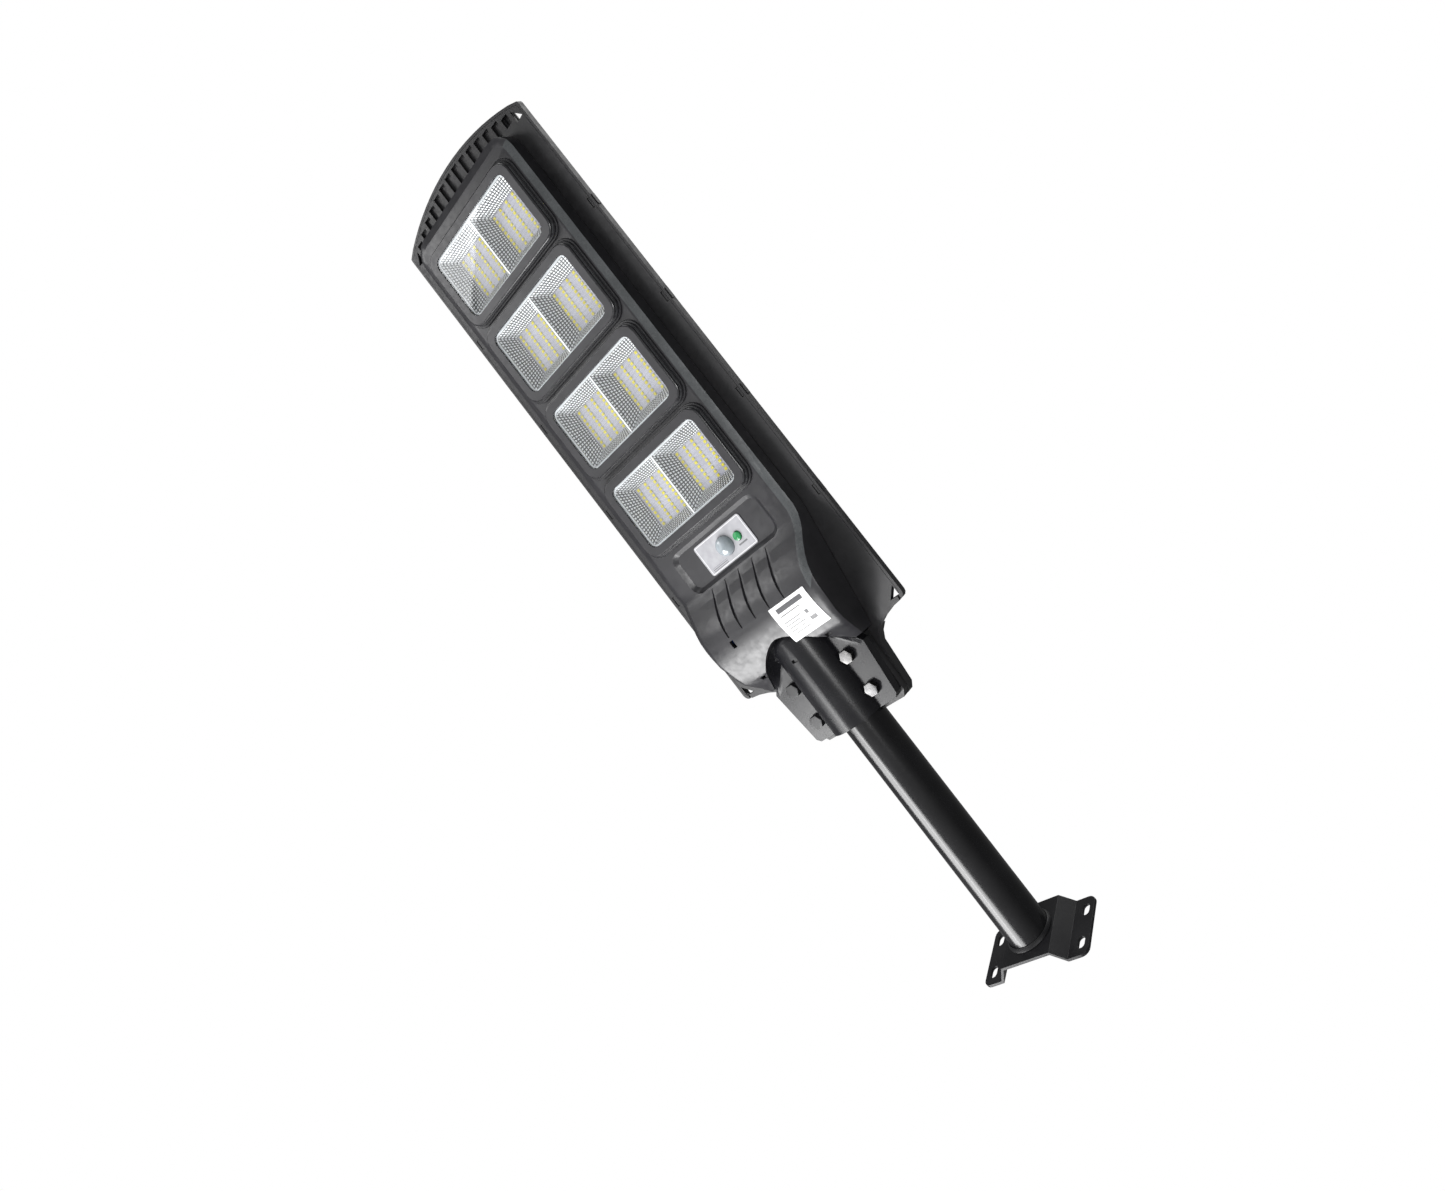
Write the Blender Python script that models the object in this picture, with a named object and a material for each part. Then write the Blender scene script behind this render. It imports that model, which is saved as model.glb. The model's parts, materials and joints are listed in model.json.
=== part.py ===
"""Solar street lamp on a tubular wall arm, modelled as an assembly of separate pieces.

The wall plane is X = 0, +Z is up, and the arm reaches out along +X, rising by ARM_TILT.
The light windows face down and the solar panel faces up. All pieces of the lamp head are
drawn in the head's own frame: x along the arm axis (away from the wall is positive), y
across, z from the light side towards the panel side, with z = 0 on the arm's axis and
x = 0 at the centre of the front window. Lengths are in metres.
"""
import math

import bmesh
import bpy
from mathutils import Vector

MM = 0.001

# Wall bracket: a hat section of pressed sheet
SHEET = 3.0 * MM
BRACKET_WIDTH = 120 * MM
BRACKET_HEIGHT = 70 * MM
BRACKET_CORNER = 8 * MM
HAT_DEPTH = 13 * MM
WEB_HALF = 26.5 * MM
FLANGE_INNER = 37.3 * MM
SLOT_Y = 51 * MM
SLOT_Z = 19.5 * MM
SLOT_WIDTH = 8 * MM
SLOT_LENGTH = 14 * MM

# Arm
ARM_TILT = math.radians(11.5)
ARM_RADIUS = 22.5 * MM
ARM_WALL = 2 * MM
WELD_RADIUS = 25.3 * MM
WELD_HEIGHT = 4.2 * MM

# Head layout along its own x
HEAD_REACH = 840 * MM
WINDOW_PITCH = 100 * MM
WINDOW_COUNT = 4
TUBE_END = -517 * MM
BORE_END = -516.6 * MM

# Levels along the head's z, from the light side up
FRAME_TOP = -19.1 * MM
LENS_FACE = -18.5 * MM
LENS_THICK = 1.8 * MM
FACE_Z = -11 * MM
CHAMFER_Z = 3.3 * MM
BOARD_Z = 0.0
BOARD_THICK = 1.6 * MM
FOOT_Z = 8.0 * MM
RIM_Z = 9.2 * MM
PLATE_TOP = 10.7 * MM
PANEL_Z = 11.4 * MM
PANEL_THICK = 2.8 * MM
LIP_Z = 14.5 * MM
FRAME_BACK = 16.1 * MM
GAP = 0.3 * MM

# Lower housing
WALL = 3 * MM
FACE_FRONT = 60 * MM
LIP_OUT = 7.5 * MM
FRONT_CORNER_X = 47 * MM
HOUSING_END = -520 * MM
HUMP_NARROWING = 0.18
GROOVE_Y = 20.5 * MM
GROOVE_DEPTH = 2.2 * MM
# Stations along the battery hump in mm: x, half width of its top and its level
HUMP = (
    (-388, 83.5, -11.0), (-397, 82.0, -11.6), (-403, 81.0, -14.2), (-410, 79.8, -18.5),
    (-420, 76.9, -25.9), (-430, 74.6, -32.4), (-439, 72.8, -36.7), (-449, 71.6, -39.2),
    (-458, 71.0, -39.8), (-470, 70.6, -39.2), (-478, 69.5, -37.6), (-488, 68.0, -35.5),
    (-498, 67.1, -31.5), (-504, 65.1, -25.9), (-511, 62.7, -19.5), (-520, 60.5, -12.1),
)
LENS_HALF_X = 36.4 * MM
LENS_HALF_Y = 67.3 * MM
LENS_RADIUS = 8 * MM

# Panel rim
RIM_HALF = 114.5 * MM
RIM_CORNER_X = 78 * MM
RIM_TIP_X = 102 * MM
RIM_REAR = -516 * MM
FRAME_WALL = 2.7 * MM
TAB_PITCH = 115 * MM
TAB_FIRST = -45 * MM

# Clamp
CLAMP_RADIUS = 33 * MM
BORE_RADIUS = 23.1 * MM
CLAMP_END = -587 * MM
FLANGE_Z = -11.5 * MM
BOLT_X = (-530 * MM, -567.5 * MM)
BOLT_Y = 38 * MM
BOLT_RADIUS = 4 * MM
HEX_FLATS = 13 * MM
NOSE_TIP = -478 * MM
NOSE_SWEEP = 42 * MM
NOSE_HALF = 57 * MM
NOSE_EDGE_Z = -24 * MM
NECK_TOP = 20 * MM

# Sensor group
SENSOR_X = -378 * MM
BUTTON_Y = 19 * MM
PIR_RADIUS = 10.3 * MM
RECESS_Z = -7.6 * MM


def clear_scene():
    for item in list(bpy.data.objects):
        bpy.data.objects.remove(item, do_unlink=True)


def material(name, color, roughness, metallic=0.0, alpha=1.0):
    mat = bpy.data.materials.new(name)
    mat.use_nodes = True
    shader = mat.node_tree.nodes["Principled BSDF"]
    shader.inputs["Base Color"].default_value = (*color, 1.0)
    shader.inputs["Roughness"].default_value = roughness
    shader.inputs["Metallic"].default_value = metallic
    shader.inputs["Alpha"].default_value = alpha
    return mat


BLACK_STEEL = ((0.012, 0.012, 0.013), 0.35, 0.4)
CHARCOAL = ((0.055, 0.053, 0.06), 0.5, 0.0)
DARK_SHELL = ((0.02, 0.02, 0.022), 0.5, 0.0)
RUBBER = ((0.02, 0.02, 0.02), 0.8, 0.0)
SILICONE = ((0.8, 0.8, 0.8), 0.5, 0.0)
CHROME = ((0.9, 0.9, 0.9), 0.15, 1.0)
ZINC = ((0.75, 0.75, 0.76), 0.25, 1.0)
ALUMINIUM = ((0.7, 0.7, 0.72), 0.4, 1.0)
BOARD_WHITE = ((0.55, 0.54, 0.62), 0.5, 0.0)
BOARD_GREEN = ((0.02, 0.18, 0.07), 0.45, 0.0)
CLEAR = ((0.9, 0.92, 0.95), 0.05, 0.0, 0.3)
MILKY = ((0.75, 0.8, 0.84), 0.25, 0.0)
GREEN = ((0.05, 0.35, 0.1), 0.3, 0.0)
PLATE_SILVER = ((0.78, 0.78, 0.8), 0.4, 0.0)
CELL_BLUE = ((0.01, 0.015, 0.04), 0.12, 0.0)
WRAP_BLUE = ((0.03, 0.1, 0.35), 0.4, 0.0)
BLACK_PART = ((0.015, 0.015, 0.015), 0.4, 0.0)
PAPER = ((0.85, 0.85, 0.85), 0.5, 0.0)


def add_mesh(name, verts, faces, finish=None, parent=None, smooth=False):
    """A mesh object whose faces point outwards; with no finish it is a cutter."""
    mesh = bpy.data.meshes.new(name)
    mesh.from_pydata([tuple(v) for v in verts], [], faces)
    bm = bmesh.new()
    bm.from_mesh(mesh)
    bmesh.ops.recalc_face_normals(bm, faces=bm.faces)
    bm.to_mesh(mesh)
    bm.free()
    piece = bpy.data.objects.new(name, mesh)
    bpy.context.scene.collection.objects.link(piece)
    piece.parent = parent
    if finish is None:
        piece.hide_render = True
        piece.display_type = "WIRE"
    else:
        mesh.materials.append(material(name, *finish))
    if smooth:
        mesh.shade_smooth()
        mesh.set_sharp_from_angle(angle=math.radians(35))
    return piece


def merged(*meshes):
    """Several (verts, faces) shapes as the separate solids of one mesh."""
    verts = []
    faces = []
    for more_verts, more_faces in meshes:
        start = len(verts)
        verts += list(more_verts)
        faces += [tuple(start + i for i in face) for face in more_faces]
    return verts, faces


def boolean(target, other, operation):
    modifier = target.modifiers.new(operation.lower(), "BOOLEAN")
    modifier.operation = operation
    modifier.solver = "EXACT"
    modifier.object = other


def cut(target, *cutters):
    for cutter in cutters:
        boolean(target, cutter, "DIFFERENCE")


def fuse(target, *pieces):
    for piece in pieces:
        boolean(target, piece, "UNION")


def loft(rings):
    """A solid through rings with equal numbers of points, closed by flat ends."""
    count = len(rings[0])
    verts = [point for ring in rings for point in ring]
    faces = [tuple(range(count)), tuple(range(len(verts) - count, len(verts)))]
    for level in range(len(rings) - 1):
        low = level * count
        high = low + count
        for i in range(count):
            j = (i + 1) % count
            faces.append((low + i, low + j, high + j, high + i))
    return verts, faces


def prism(outline, low, high):
    return loft([[(x, y, z) for x, y in outline] for z in (low, high)])


def frustum(low_outline, low, high_outline, high):
    return loft([[(x, y, low) for x, y in low_outline], [(x, y, high) for x, y in high_outline]])


def ring_solid(outer, inner, low, high):
    """A flat ring between two outlines with equal numbers of points."""
    count = len(outer)
    verts = []
    for outline, z in ((outer, low), (outer, high), (inner, high), (inner, low)):
        verts += [(x, y, z) for x, y in outline]
    faces = []
    for side in range(4):
        here = side * count
        there = (side + 1) % 4 * count
        for i in range(count):
            j = (i + 1) % count
            faces.append((here + i, here + j, there + j, there + i))
    return verts, faces


def box(x0, x1, y0, y1, z0, z1):
    return prism([(x0, y0), (x1, y0), (x1, y1), (x0, y1)], z0, z1)


def arc(centre_x, centre_y, radius, start, end, steps):
    points = []
    for i in range(steps + 1):
        angle = math.radians(start + (end - start) * i / steps)
        points.append((centre_x + radius * math.cos(angle), centre_y + radius * math.sin(angle)))
    return points


def rounded(x0, x1, y0, y1, radius, steps=3):
    outline = []
    outline += arc(x1 - radius, y1 - radius, radius, 0, 90, steps)
    outline += arc(x0 + radius, y1 - radius, radius, 90, 180, steps)
    outline += arc(x0 + radius, y0 + radius, radius, 180, 270, steps)
    outline += arc(x1 - radius, y0 + radius, radius, 270, 360, steps)
    return outline


def polygon(x, y, radius, sides, turn=0.0):
    return [
        (x + radius * math.cos(turn + 2 * math.pi * i / sides),
         y + radius * math.sin(turn + 2 * math.pi * i / sides))
        for i in range(sides)
    ]


def hexagon(x, y, flats):
    return polygon(x, y, flats / math.sqrt(3), 6, math.pi / 6)


def cylinder_z(x, y, radius, low, high, sides=16):
    return prism(polygon(x, y, radius, sides), low, high)


def turned(profile, sides, x=0.0, y=0.0):
    """Revolve (radius, z) points, from the axis round and back to the axis, about z."""
    inner = [point for point in profile if point[0] > 0]
    verts = []
    for radius, z in inner:
        verts += [(px, py, z) for px, py in polygon(x, y, radius, sides)]
    faces = []
    for level in range(len(inner) - 1):
        low = level * sides
        high = low + sides
        for i in range(sides):
            j = (i + 1) % sides
            faces.append((low + i, low + j, high + j, high + i))
    last = (len(inner) - 1) * sides
    first_tip = len(verts)
    verts.append((x, y, profile[0][1]))
    verts.append((x, y, profile[-1][1]))
    for i in range(sides):
        j = (i + 1) % sides
        faces.append((first_tip, i, j))
        faces.append((first_tip + 1, last + j, last + i))
    return verts, faces


def along_x(shape):
    """Turn a shape drawn about z so that its axis lies along x."""
    verts, faces = shape
    return [(z, y, -x) for x, y, z in verts], faces


def along_y(shape):
    verts, faces = shape
    return [(x, z, -y) for x, y, z in verts], faces


def shifted(shape, dx, dy=0.0, dz=0.0):
    verts, faces = shape
    return [(x + dx, y + dy, z + dz) for x, y, z in verts], faces


def mirror_pair(points):
    return [(x, side * y) for x, y in points for side in (1, -1)]


# ---------------------------------------------------------------- bracket and arm

def make_bracket():
    front = HAT_DEPTH + SHEET
    slant = 1.1 * MM
    half = BRACKET_WIDTH / 2
    right = [
        (0.0, half), (0.0, FLANGE_INNER), (HAT_DEPTH, WEB_HALF),
    ]
    right_front = [
        (front, WEB_HALF + slant), (SHEET, FLANGE_INNER + slant), (SHEET, half),
    ]
    section = right + [(x, -y) for x, y in reversed(right)]
    section += [(x, -y) for x, y in reversed(right_front)] + right_front
    bracket = add_mesh(
        "wall_bracket", *prism(section, -BRACKET_HEIGHT / 2, BRACKET_HEIGHT / 2), BLACK_STEEL)
    outline = rounded(
        -BRACKET_HEIGHT / 2, BRACKET_HEIGHT / 2, -half, half, BRACKET_CORNER, 5)
    trim = add_mesh("bracket_trim", *along_x(prism(outline, -0.01, 0.04)))
    boolean(bracket, trim, "INTERSECT")
    slot = rounded(
        -SLOT_LENGTH / 2, SLOT_LENGTH / 2, -SLOT_WIDTH / 2, SLOT_WIDTH / 2,
        SLOT_WIDTH / 2 - 0.01 * MM, 4)
    slot_shape = along_x(prism(slot, -0.01, 0.01))
    for number, (z, y) in enumerate(mirror_pair([(SLOT_Z, SLOT_Y), (-SLOT_Z, SLOT_Y)])):
        cut(bracket, add_mesh(f"slot_cutter_{number}", *shifted(slot_shape, 0.0, y, z)))


def oblique_circle(radius, offset, sides):
    """A circle round the arm axis whose points lie parallel to the tilted bracket web."""
    return [
        (offset / math.cos(ARM_TILT) - z * math.tan(-ARM_TILT), y, z)
        for y, z in polygon(0, 0, radius, sides)
    ]


def straight_circle(radius, x, sides):
    return [(x, y, z) for y, z in polygon(0, 0, radius, sides)]


def closed_rings(rings):
    """Rings joined in a closed loop, as for a tube with a bore."""
    count = len(rings[0])
    verts = [point for ring in rings for point in ring]
    faces = []
    for level in range(len(rings)):
        low = level * count
        high = (level + 1) % len(rings) * count
        for i in range(count):
            j = (i + 1) % count
            faces.append((low + i, low + j, high + j, high + i))
    return verts, faces


def make_arm(parent):
    sides = 40
    far = HEAD_REACH + TUBE_END
    bore = ARM_RADIUS - ARM_WALL
    rings = [
        oblique_circle(ARM_RADIUS, GAP, sides), straight_circle(ARM_RADIUS, far, sides),
        straight_circle(bore, far, sides), oblique_circle(bore, GAP, sides),
    ]
    add_mesh("arm_tube", *closed_rings(rings), BLACK_STEEL, parent, True)
    inner = ARM_RADIUS + GAP
    rings = [
        oblique_circle(inner, GAP, sides), oblique_circle(WELD_RADIUS, GAP, sides),
        oblique_circle(WELD_RADIUS - 0.8 * MM, 2.4 * MM, sides),
        oblique_circle(inner, WELD_HEIGHT, sides),
    ]
    add_mesh("weld_bead", *closed_rings(rings), BLACK_STEEL, parent, True)


# ---------------------------------------------------------------- lower housing

def hump_value(x, column):
    """A value of the hump's table at x, level with the flat face in front of the hump."""
    for (x0, *low), (x1, *high) in zip(HUMP, HUMP[1:]):
        if x >= x1 * MM:
            t = min(max((x0 * MM - x) / ((x0 - x1) * MM), 0.0), 1.0)
            return (low[column] + (high[column] - low[column]) * t) * MM
    return HUMP[-1][column + 1] * MM


def face_z(x):
    """Height of the light-side surface along the head: flat, then the battery hump."""
    return hump_value(x, 1)


def face_half(x):
    """Half width of the light-side surface: it narrows along the hump."""
    return hump_value(x, 0)


def lip_half(x):
    return face_half(x) + LIP_OUT - 3 * MM * min(max((-440 * MM - x) / (70 * MM), 0.0), 1.0)


def foot_half(x):
    return 90 * MM - HUMP_NARROWING * max(0.0, -392 * MM - x)


SIDE_STATIONS = [-300 * MM] + [row[0] * MM for row in HUMP]


def housing_ring(half, front, level, inset, steps=4):
    """Points down the +y side of the housing, from the middle of the front to the rear."""
    radius = front - inset - FRONT_CORNER_X
    corner_y = half(0.0) - inset - radius
    points = []
    for x, y in arc(FRONT_CORNER_X, corner_y, radius, 0, 90, steps):
        points.append((x, y, level(x)))
    for station in SIDE_STATIONS:
        x = max(station, HOUSING_END + inset)
        points.append((x, half(x) - inset, level(x)))
    return points


def housing_solid(inset, face_drop, foot):
    """The housing's envelope, or its cavity when inset: foot, lip and face rings."""
    wide = FACE_FRONT + LIP_OUT + 1 * MM
    rings = [
        housing_ring(foot_half, wide, lambda x: foot, inset),
        housing_ring(lip_half, wide, lambda x: face_z(x) + CHAMFER_Z + face_drop, inset),
        housing_ring(face_half, FACE_FRONT, lambda x: face_z(x) + face_drop, inset),
    ]
    count = len(rings[0])
    verts = []
    for ring in rings:
        verts += ring
        verts += [(x, -y, z) for x, y, z in ring]
    faces = []

    def index(ring, side, i):
        return (2 * ring + side) * count + i

    for i in range(count - 1):
        for ring in (0, 2):
            faces.append((index(ring, 0, i), index(ring, 0, i + 1),
                          index(ring, 1, i + 1), index(ring, 1, i)))
        for ring in (0, 1):
            for side in (0, 1):
                faces.append((index(ring, side, i), index(ring, side, i + 1),
                              index(ring + 1, side, i + 1), index(ring + 1, side, i)))
    for end in (0, count - 1):
        for ring in (0, 1):
            faces.append((index(ring, 0, end), index(ring, 1, end),
                          index(ring + 1, 1, end), index(ring + 1, 0, end)))
    return verts, faces


def nose_front(y):
    """Where the clamp cover's front edge lies: a rounded tip that sweeps back to the sides."""
    return NOSE_TIP - NOSE_SWEEP * (abs(y) / NOSE_HALF) ** 1.6


def nose_plan(extra):
    """The clamp cover's front edge in plan, moved out by extra and closed behind."""
    edge = []
    for step in range(-16, 17):
        y = step * 4.3 * MM
        edge.append((nose_front(max(abs(y) - extra, 0.0)) + extra, y))
    return edge + [(-0.6, edge[-1][1]), (-0.6, edge[0][1])]


SCREW_SPOTS = [(50 * MM, 79 * MM), (-150 * MM, 82.5 * MM), (-346 * MM, 82.5 * MM)]


def groove(y):
    """A shallow spindle-shaped groove running up the front slope of the hump."""
    rings = []
    for step in range(7):
        x = (-403 - 8 * step) * MM
        swell = math.sin(math.pi * (step + 0.6) / 7.2)
        half = (0.8 + 2.5 * swell) * MM
        floor = face_z(x) + GROOVE_DEPTH * swell
        above = face_z(x) - 2 * MM
        rings.append([(x, y - half, above), (x, y + half, above),
                      (x, y + 0.7 * half, floor), (x, y - 0.7 * half, floor)])
    return loft(rings)


def make_housing(parent):
    housing = add_mesh("lower_housing", *housing_solid(0.0, 0.0, FOOT_Z), CHARCOAL, parent)
    cut(housing, add_mesh("cavity", *housing_solid(WALL, WALL, FOOT_Z + 5 * MM), None, parent))
    backing = box(-404 * MM, -349 * MM, -70 * MM, 70 * MM, FACE_Z + 1 * MM, RECESS_Z + 2.5 * MM)
    fuse(housing, add_mesh("recess_backing", *backing, None, parent))
    for number, (x, y) in enumerate(mirror_pair(SCREW_SPOTS)):
        boss = cylinder_z(x, y, 4 * MM, face_z(x) + 1.2 * MM, FOOT_Z, 12)
        fuse(housing, add_mesh(f"boss_{number}", *boss, None, parent))
        hole = cylinder_z(x, y, 1.8 * MM, face_z(x) + 5 * MM, FOOT_Z + 2 * MM, 10)
        cut(housing, add_mesh(f"boss_hole_{number}", *hole, None, parent))
    well = add_mesh("nose_well", *housing_solid(0.1 * MM, 0.1 * MM, FOOT_Z), None, parent)
    boolean(well, add_mesh(
        "well_outer", *prism(nose_plan(3.2 * MM), -0.06, 0.03), None, parent), "INTERSECT")
    fuse(housing, well)
    cut(housing, add_mesh(
        "well_inner", *prism(nose_plan(0.5 * MM), -0.07, 0.04), None, parent))
    for number in range(WINDOW_COUNT):
        x = -number * WINDOW_PITCH
        top = rounded(x - 44.5 * MM, x + 44.5 * MM, -76 * MM, 76 * MM, 13 * MM)
        foot = rounded(x - 48.5 * MM, x + 48.5 * MM, -81 * MM, 81 * MM, 17 * MM)
        frame = frustum(top, FRAME_TOP, foot, FACE_Z + 1 * MM)
        fuse(housing, add_mesh(f"frame_{number}", *frame, None, parent))
    for number in range(WINDOW_COUNT):
        x = -number * WINDOW_PITCH
        half_x = LENS_HALF_X + GAP
        half_y = LENS_HALF_Y + GAP
        opening = rounded(x - half_x, x + half_x, -half_y, half_y, LENS_RADIUS + GAP)
        cut(housing, add_mesh(f"opening_{number}", *prism(opening, -25 * MM, 0.0), None, parent))
        pocket = rounded(x - 39 * MM, x + 39 * MM, -70 * MM, 70 * MM, LENS_RADIUS + GAP)
        cut(housing, add_mesh(
            f"pocket_{number}", *prism(pocket, -16.2 * MM, 1 * MM), None, parent))
    outer = rounded(-400 * MM, -353 * MM, -66 * MM, 66 * MM, 12 * MM)
    floor = rounded(-396.5 * MM, -357 * MM, -61 * MM, 61 * MM, 8 * MM)
    rise = RECESS_Z - FACE_Z
    recess = loft([
        [(x + (x - SENSOR_X) * 0.05, y * 1.03, FACE_Z - rise) for x, y in outer],
        [(x, y, FACE_Z) for x, y in outer], [(x, y, RECESS_Z) for x, y in floor]])
    cut(housing, add_mesh("recess", *recess, None, parent))
    pir_hole = cylinder_z(SENSOR_X, 0, PIR_RADIUS + GAP, -12 * MM, -3 * MM, 24)
    button_hole = cylinder_z(SENSOR_X, BUTTON_Y, 5.1 * MM, -12 * MM, -3 * MM, 16)
    cut(housing, add_mesh("pir_hole", *pir_hole, None, parent),
        add_mesh("button_hole", *button_hole, None, parent))
    for number in range(-2, 3):
        cut(housing, add_mesh(f"groove_{number + 2}", *groove(number * GROOVE_Y), None, parent))
    hooks = mirror_pair([(-458.5 * MM, 41.8 * MM), (-502.3 * MM, 46.5 * MM)])
    sizes = [(4 * MM, 2.5 * MM)] * 2 + [(1.8 * MM, 3.5 * MM)] * 2
    for number, ((x, y), (half_x, half_y)) in enumerate(zip(hooks, sizes)):
        notch = box(x - half_x, x + half_x, y - half_y, y + half_y, -45 * MM, face_z(x) + 4 * MM)
        cut(housing, add_mesh(f"hook_slot_{number}", *notch, None, parent))


def half_outline(half, front, inset):
    ring = housing_ring(half, front, lambda x: 0.0, inset)
    right = [(x, y) for x, y, z in ring]
    return right + [(x, -y) for x, y in reversed(right)]


def make_housing_fittings(parent):
    wide = FACE_FRONT + LIP_OUT + 1 * MM
    seal = ring_solid(
        half_outline(foot_half, wide, 0.3 * MM), half_outline(foot_half, wide, 2.2 * MM),
        FOOT_Z + GAP, RIM_Z - GAP)
    seal_piece = add_mesh("housing_seal", *seal, RUBBER, parent)
    low = FOOT_Z + GAP
    high = RIM_Z - GAP
    bend = add_mesh("seal_bend", *prism(nose_plan(2.6 * MM), low, high), None, parent)
    inside = prism(half_outline(foot_half, wide, 0.4 * MM), 0.0, 0.03)
    boolean(bend, add_mesh("seal_limit", *inside, None, parent), "INTERSECT")
    fuse(seal_piece, bend)
    cut(seal_piece, add_mesh(
        "seal_gap", *prism(nose_plan(0.8 * MM), 0.0, 0.03), None, parent))
    for number, (x, y) in enumerate(mirror_pair(SCREW_SPOTS)):
        profile = [(0, -3 * MM), (1.2 * MM, -3 * MM), (1.5 * MM, -2 * MM), (1.5 * MM, 10.1 * MM),
                   (2.9 * MM, 10.1 * MM), (2.6 * MM, 11.1 * MM), (0, 11.1 * MM)]
        add_mesh(f"housing_screw_{number + 1}", *turned(profile, 10, x, y), ZINC, parent, True)


# ---------------------------------------------------------------- light windows

def cup_outline(x, side, spread_x, near, far, radius):
    low, high = sorted((side * near, side * far))
    return rounded(x - spread_x, x + spread_x, low, high, radius, 2)


def cup(x, side, grow, low_z, high_z):
    """One reflector cup: wide at the lens, narrow at the board."""
    wide = cup_outline(x, side, 34.5 * MM + grow, 1.75 * MM - grow, 65.5 * MM + grow, 5 * MM)
    narrow = cup_outline(x, side, 23.5 * MM + grow, 12.8 * MM - grow, 55.1 * MM + grow, 2 * MM)
    return frustum(wide, low_z, narrow, high_z)


def make_window(number, parent):
    x = -number * WINDOW_PITCH
    tag = number + 1
    lens = rounded(x - LENS_HALF_X, x + LENS_HALF_X, -LENS_HALF_Y, LENS_HALF_Y, LENS_RADIUS)
    add_mesh(f"window_lens_{tag}", *prism(lens, LENS_FACE, LENS_FACE + LENS_THICK), CLEAR, parent)
    back = LENS_FACE + LENS_THICK
    rings = [
        rounded(x - LENS_HALF_X + inset, x + LENS_HALF_X - inset,
                -LENS_HALF_Y + inset, LENS_HALF_Y - inset, LENS_RADIUS - inset)
        for inset in (0.2 * MM, 1.6 * MM)
    ]
    add_mesh(f"lens_seal_{tag}", *ring_solid(*rings, back + GAP, back + 0.9 * MM),
             SILICONE, parent)
    top = back + 1.2 * MM
    bottom = BOARD_Z - GAP
    plate = rounded(x - 38.5 * MM, x + 38.5 * MM, -69.5 * MM, 69.5 * MM, LENS_RADIUS)
    reflector = add_mesh(
        f"reflector_{tag}", *prism(plate, top, top + 1.2 * MM), CHROME, parent)
    for side in (1, -1):
        body = cup(x, side, 1.2 * MM, top, bottom)
        fuse(reflector, add_mesh(f"cup_body_{tag}_{side}", *body, None, parent))
    for side in (1, -1):
        hollow = cup(x, side, 0.0, top - 0.1 * MM, bottom + 0.1 * MM)
        cut(reflector, add_mesh(f"cup_hollow_{tag}_{side}", *hollow, None, parent))
    board = rounded(x - 27 * MM, x + 27 * MM, -60 * MM, 60 * MM, 2 * MM, 1)
    circuit = add_mesh(
        f"led_board_{tag}", *prism(board, BOARD_Z, BOARD_Z + BOARD_THICK), BOARD_WHITE, parent)
    rows = []
    for side in (1, -1):
        for row in range(4):
            y = side * (15.4 + 11.8 * row) * MM
            rows.append(box(x - 22.5 * MM, x + 22.5 * MM, y - 1.75 * MM, y + 1.75 * MM,
                            BOARD_Z - 0.9 * MM, BOARD_Z + 0.5 * MM))
    fuse(circuit, add_mesh(f"led_rows_{tag}", *merged(*rows), None, parent))


def make_heat_plate(parent):
    low = BOARD_Z + BOARD_THICK + GAP
    add_mesh("heat_plate", *box(-335 * MM, 35 * MM, -62 * MM, 62 * MM, low, low + 2 * MM),
             ALUMINIUM, parent)


# ---------------------------------------------------------------- sensor and button

def make_sensor(parent):
    low = RECESS_Z - 0.9 * MM
    plate = add_mesh(
        "sensor_plate",
        *prism(rounded(-395 * MM, -360.5 * MM, -35 * MM, 35 * MM, 3 * MM), low,
               RECESS_Z - GAP), PLATE_SILVER, parent)
    for number, (y, radius) in enumerate(((0.0, PIR_RADIUS + GAP), (BUTTON_Y, 5.1 * MM))):
        hole = cylinder_z(SENSOR_X, y, radius, low - 5 * MM, RECESS_Z + 5 * MM, 24)
        cut(plate, add_mesh(f"plate_hole_{number}", *hole, None, parent))
    dome = []
    for i in range(5):
        angle = math.radians(18 * i)
        dome.append((PIR_RADIUS * math.sin(angle), -9.6 * MM - 6.2 * MM * math.cos(angle)))
    under = RECESS_Z + 2.5 * MM + GAP
    profile = dome + [(PIR_RADIUS, -9.6 * MM), (PIR_RADIUS, under), (12.3 * MM, under),
                      (12.3 * MM, under + 1 * MM), (9.3 * MM, under + 1 * MM),
                      (9.3 * MM, -9.6 * MM)]
    profile += [(9.3 * MM * math.sin(math.radians(a)),
                 -9.6 * MM - 5.2 * MM * math.cos(math.radians(a))) for a in (72, 48, 24, 0)]
    add_mesh("pir_lens", *turned(profile, 24, SENSOR_X, 0.0), MILKY, parent, True)
    can = [(0, -6.5 * MM), (4.2 * MM, -6.5 * MM), (4.6 * MM, -6.1 * MM), (4.6 * MM, -0.4 * MM),
           (5.2 * MM, -0.4 * MM), (5.2 * MM, 0.7 * MM), (0, 0.7 * MM)]
    add_mesh("pir_sensor", *turned(can, 16, SENSOR_X, 0.0), ZINC, parent, True)
    add_mesh("sensor_board", *box(-395 * MM, -361 * MM, -27 * MM, 27 * MM, 1 * MM, 2.6 * MM),
             BOARD_GREEN, parent)
    body = box(SENSOR_X - 3 * MM, SENSOR_X + 3 * MM, BUTTON_Y - 3 * MM, BUTTON_Y + 3 * MM,
               -2.2 * MM, 0.7 * MM)
    switch = add_mesh("button_switch", *body, BLACK_PART, parent)
    stem = cylinder_z(SENSOR_X, BUTTON_Y, 1.6 * MM, -2.6 * MM, -1 * MM, 12)
    fuse(switch, add_mesh("switch_stem", *stem, None, parent))


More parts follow.
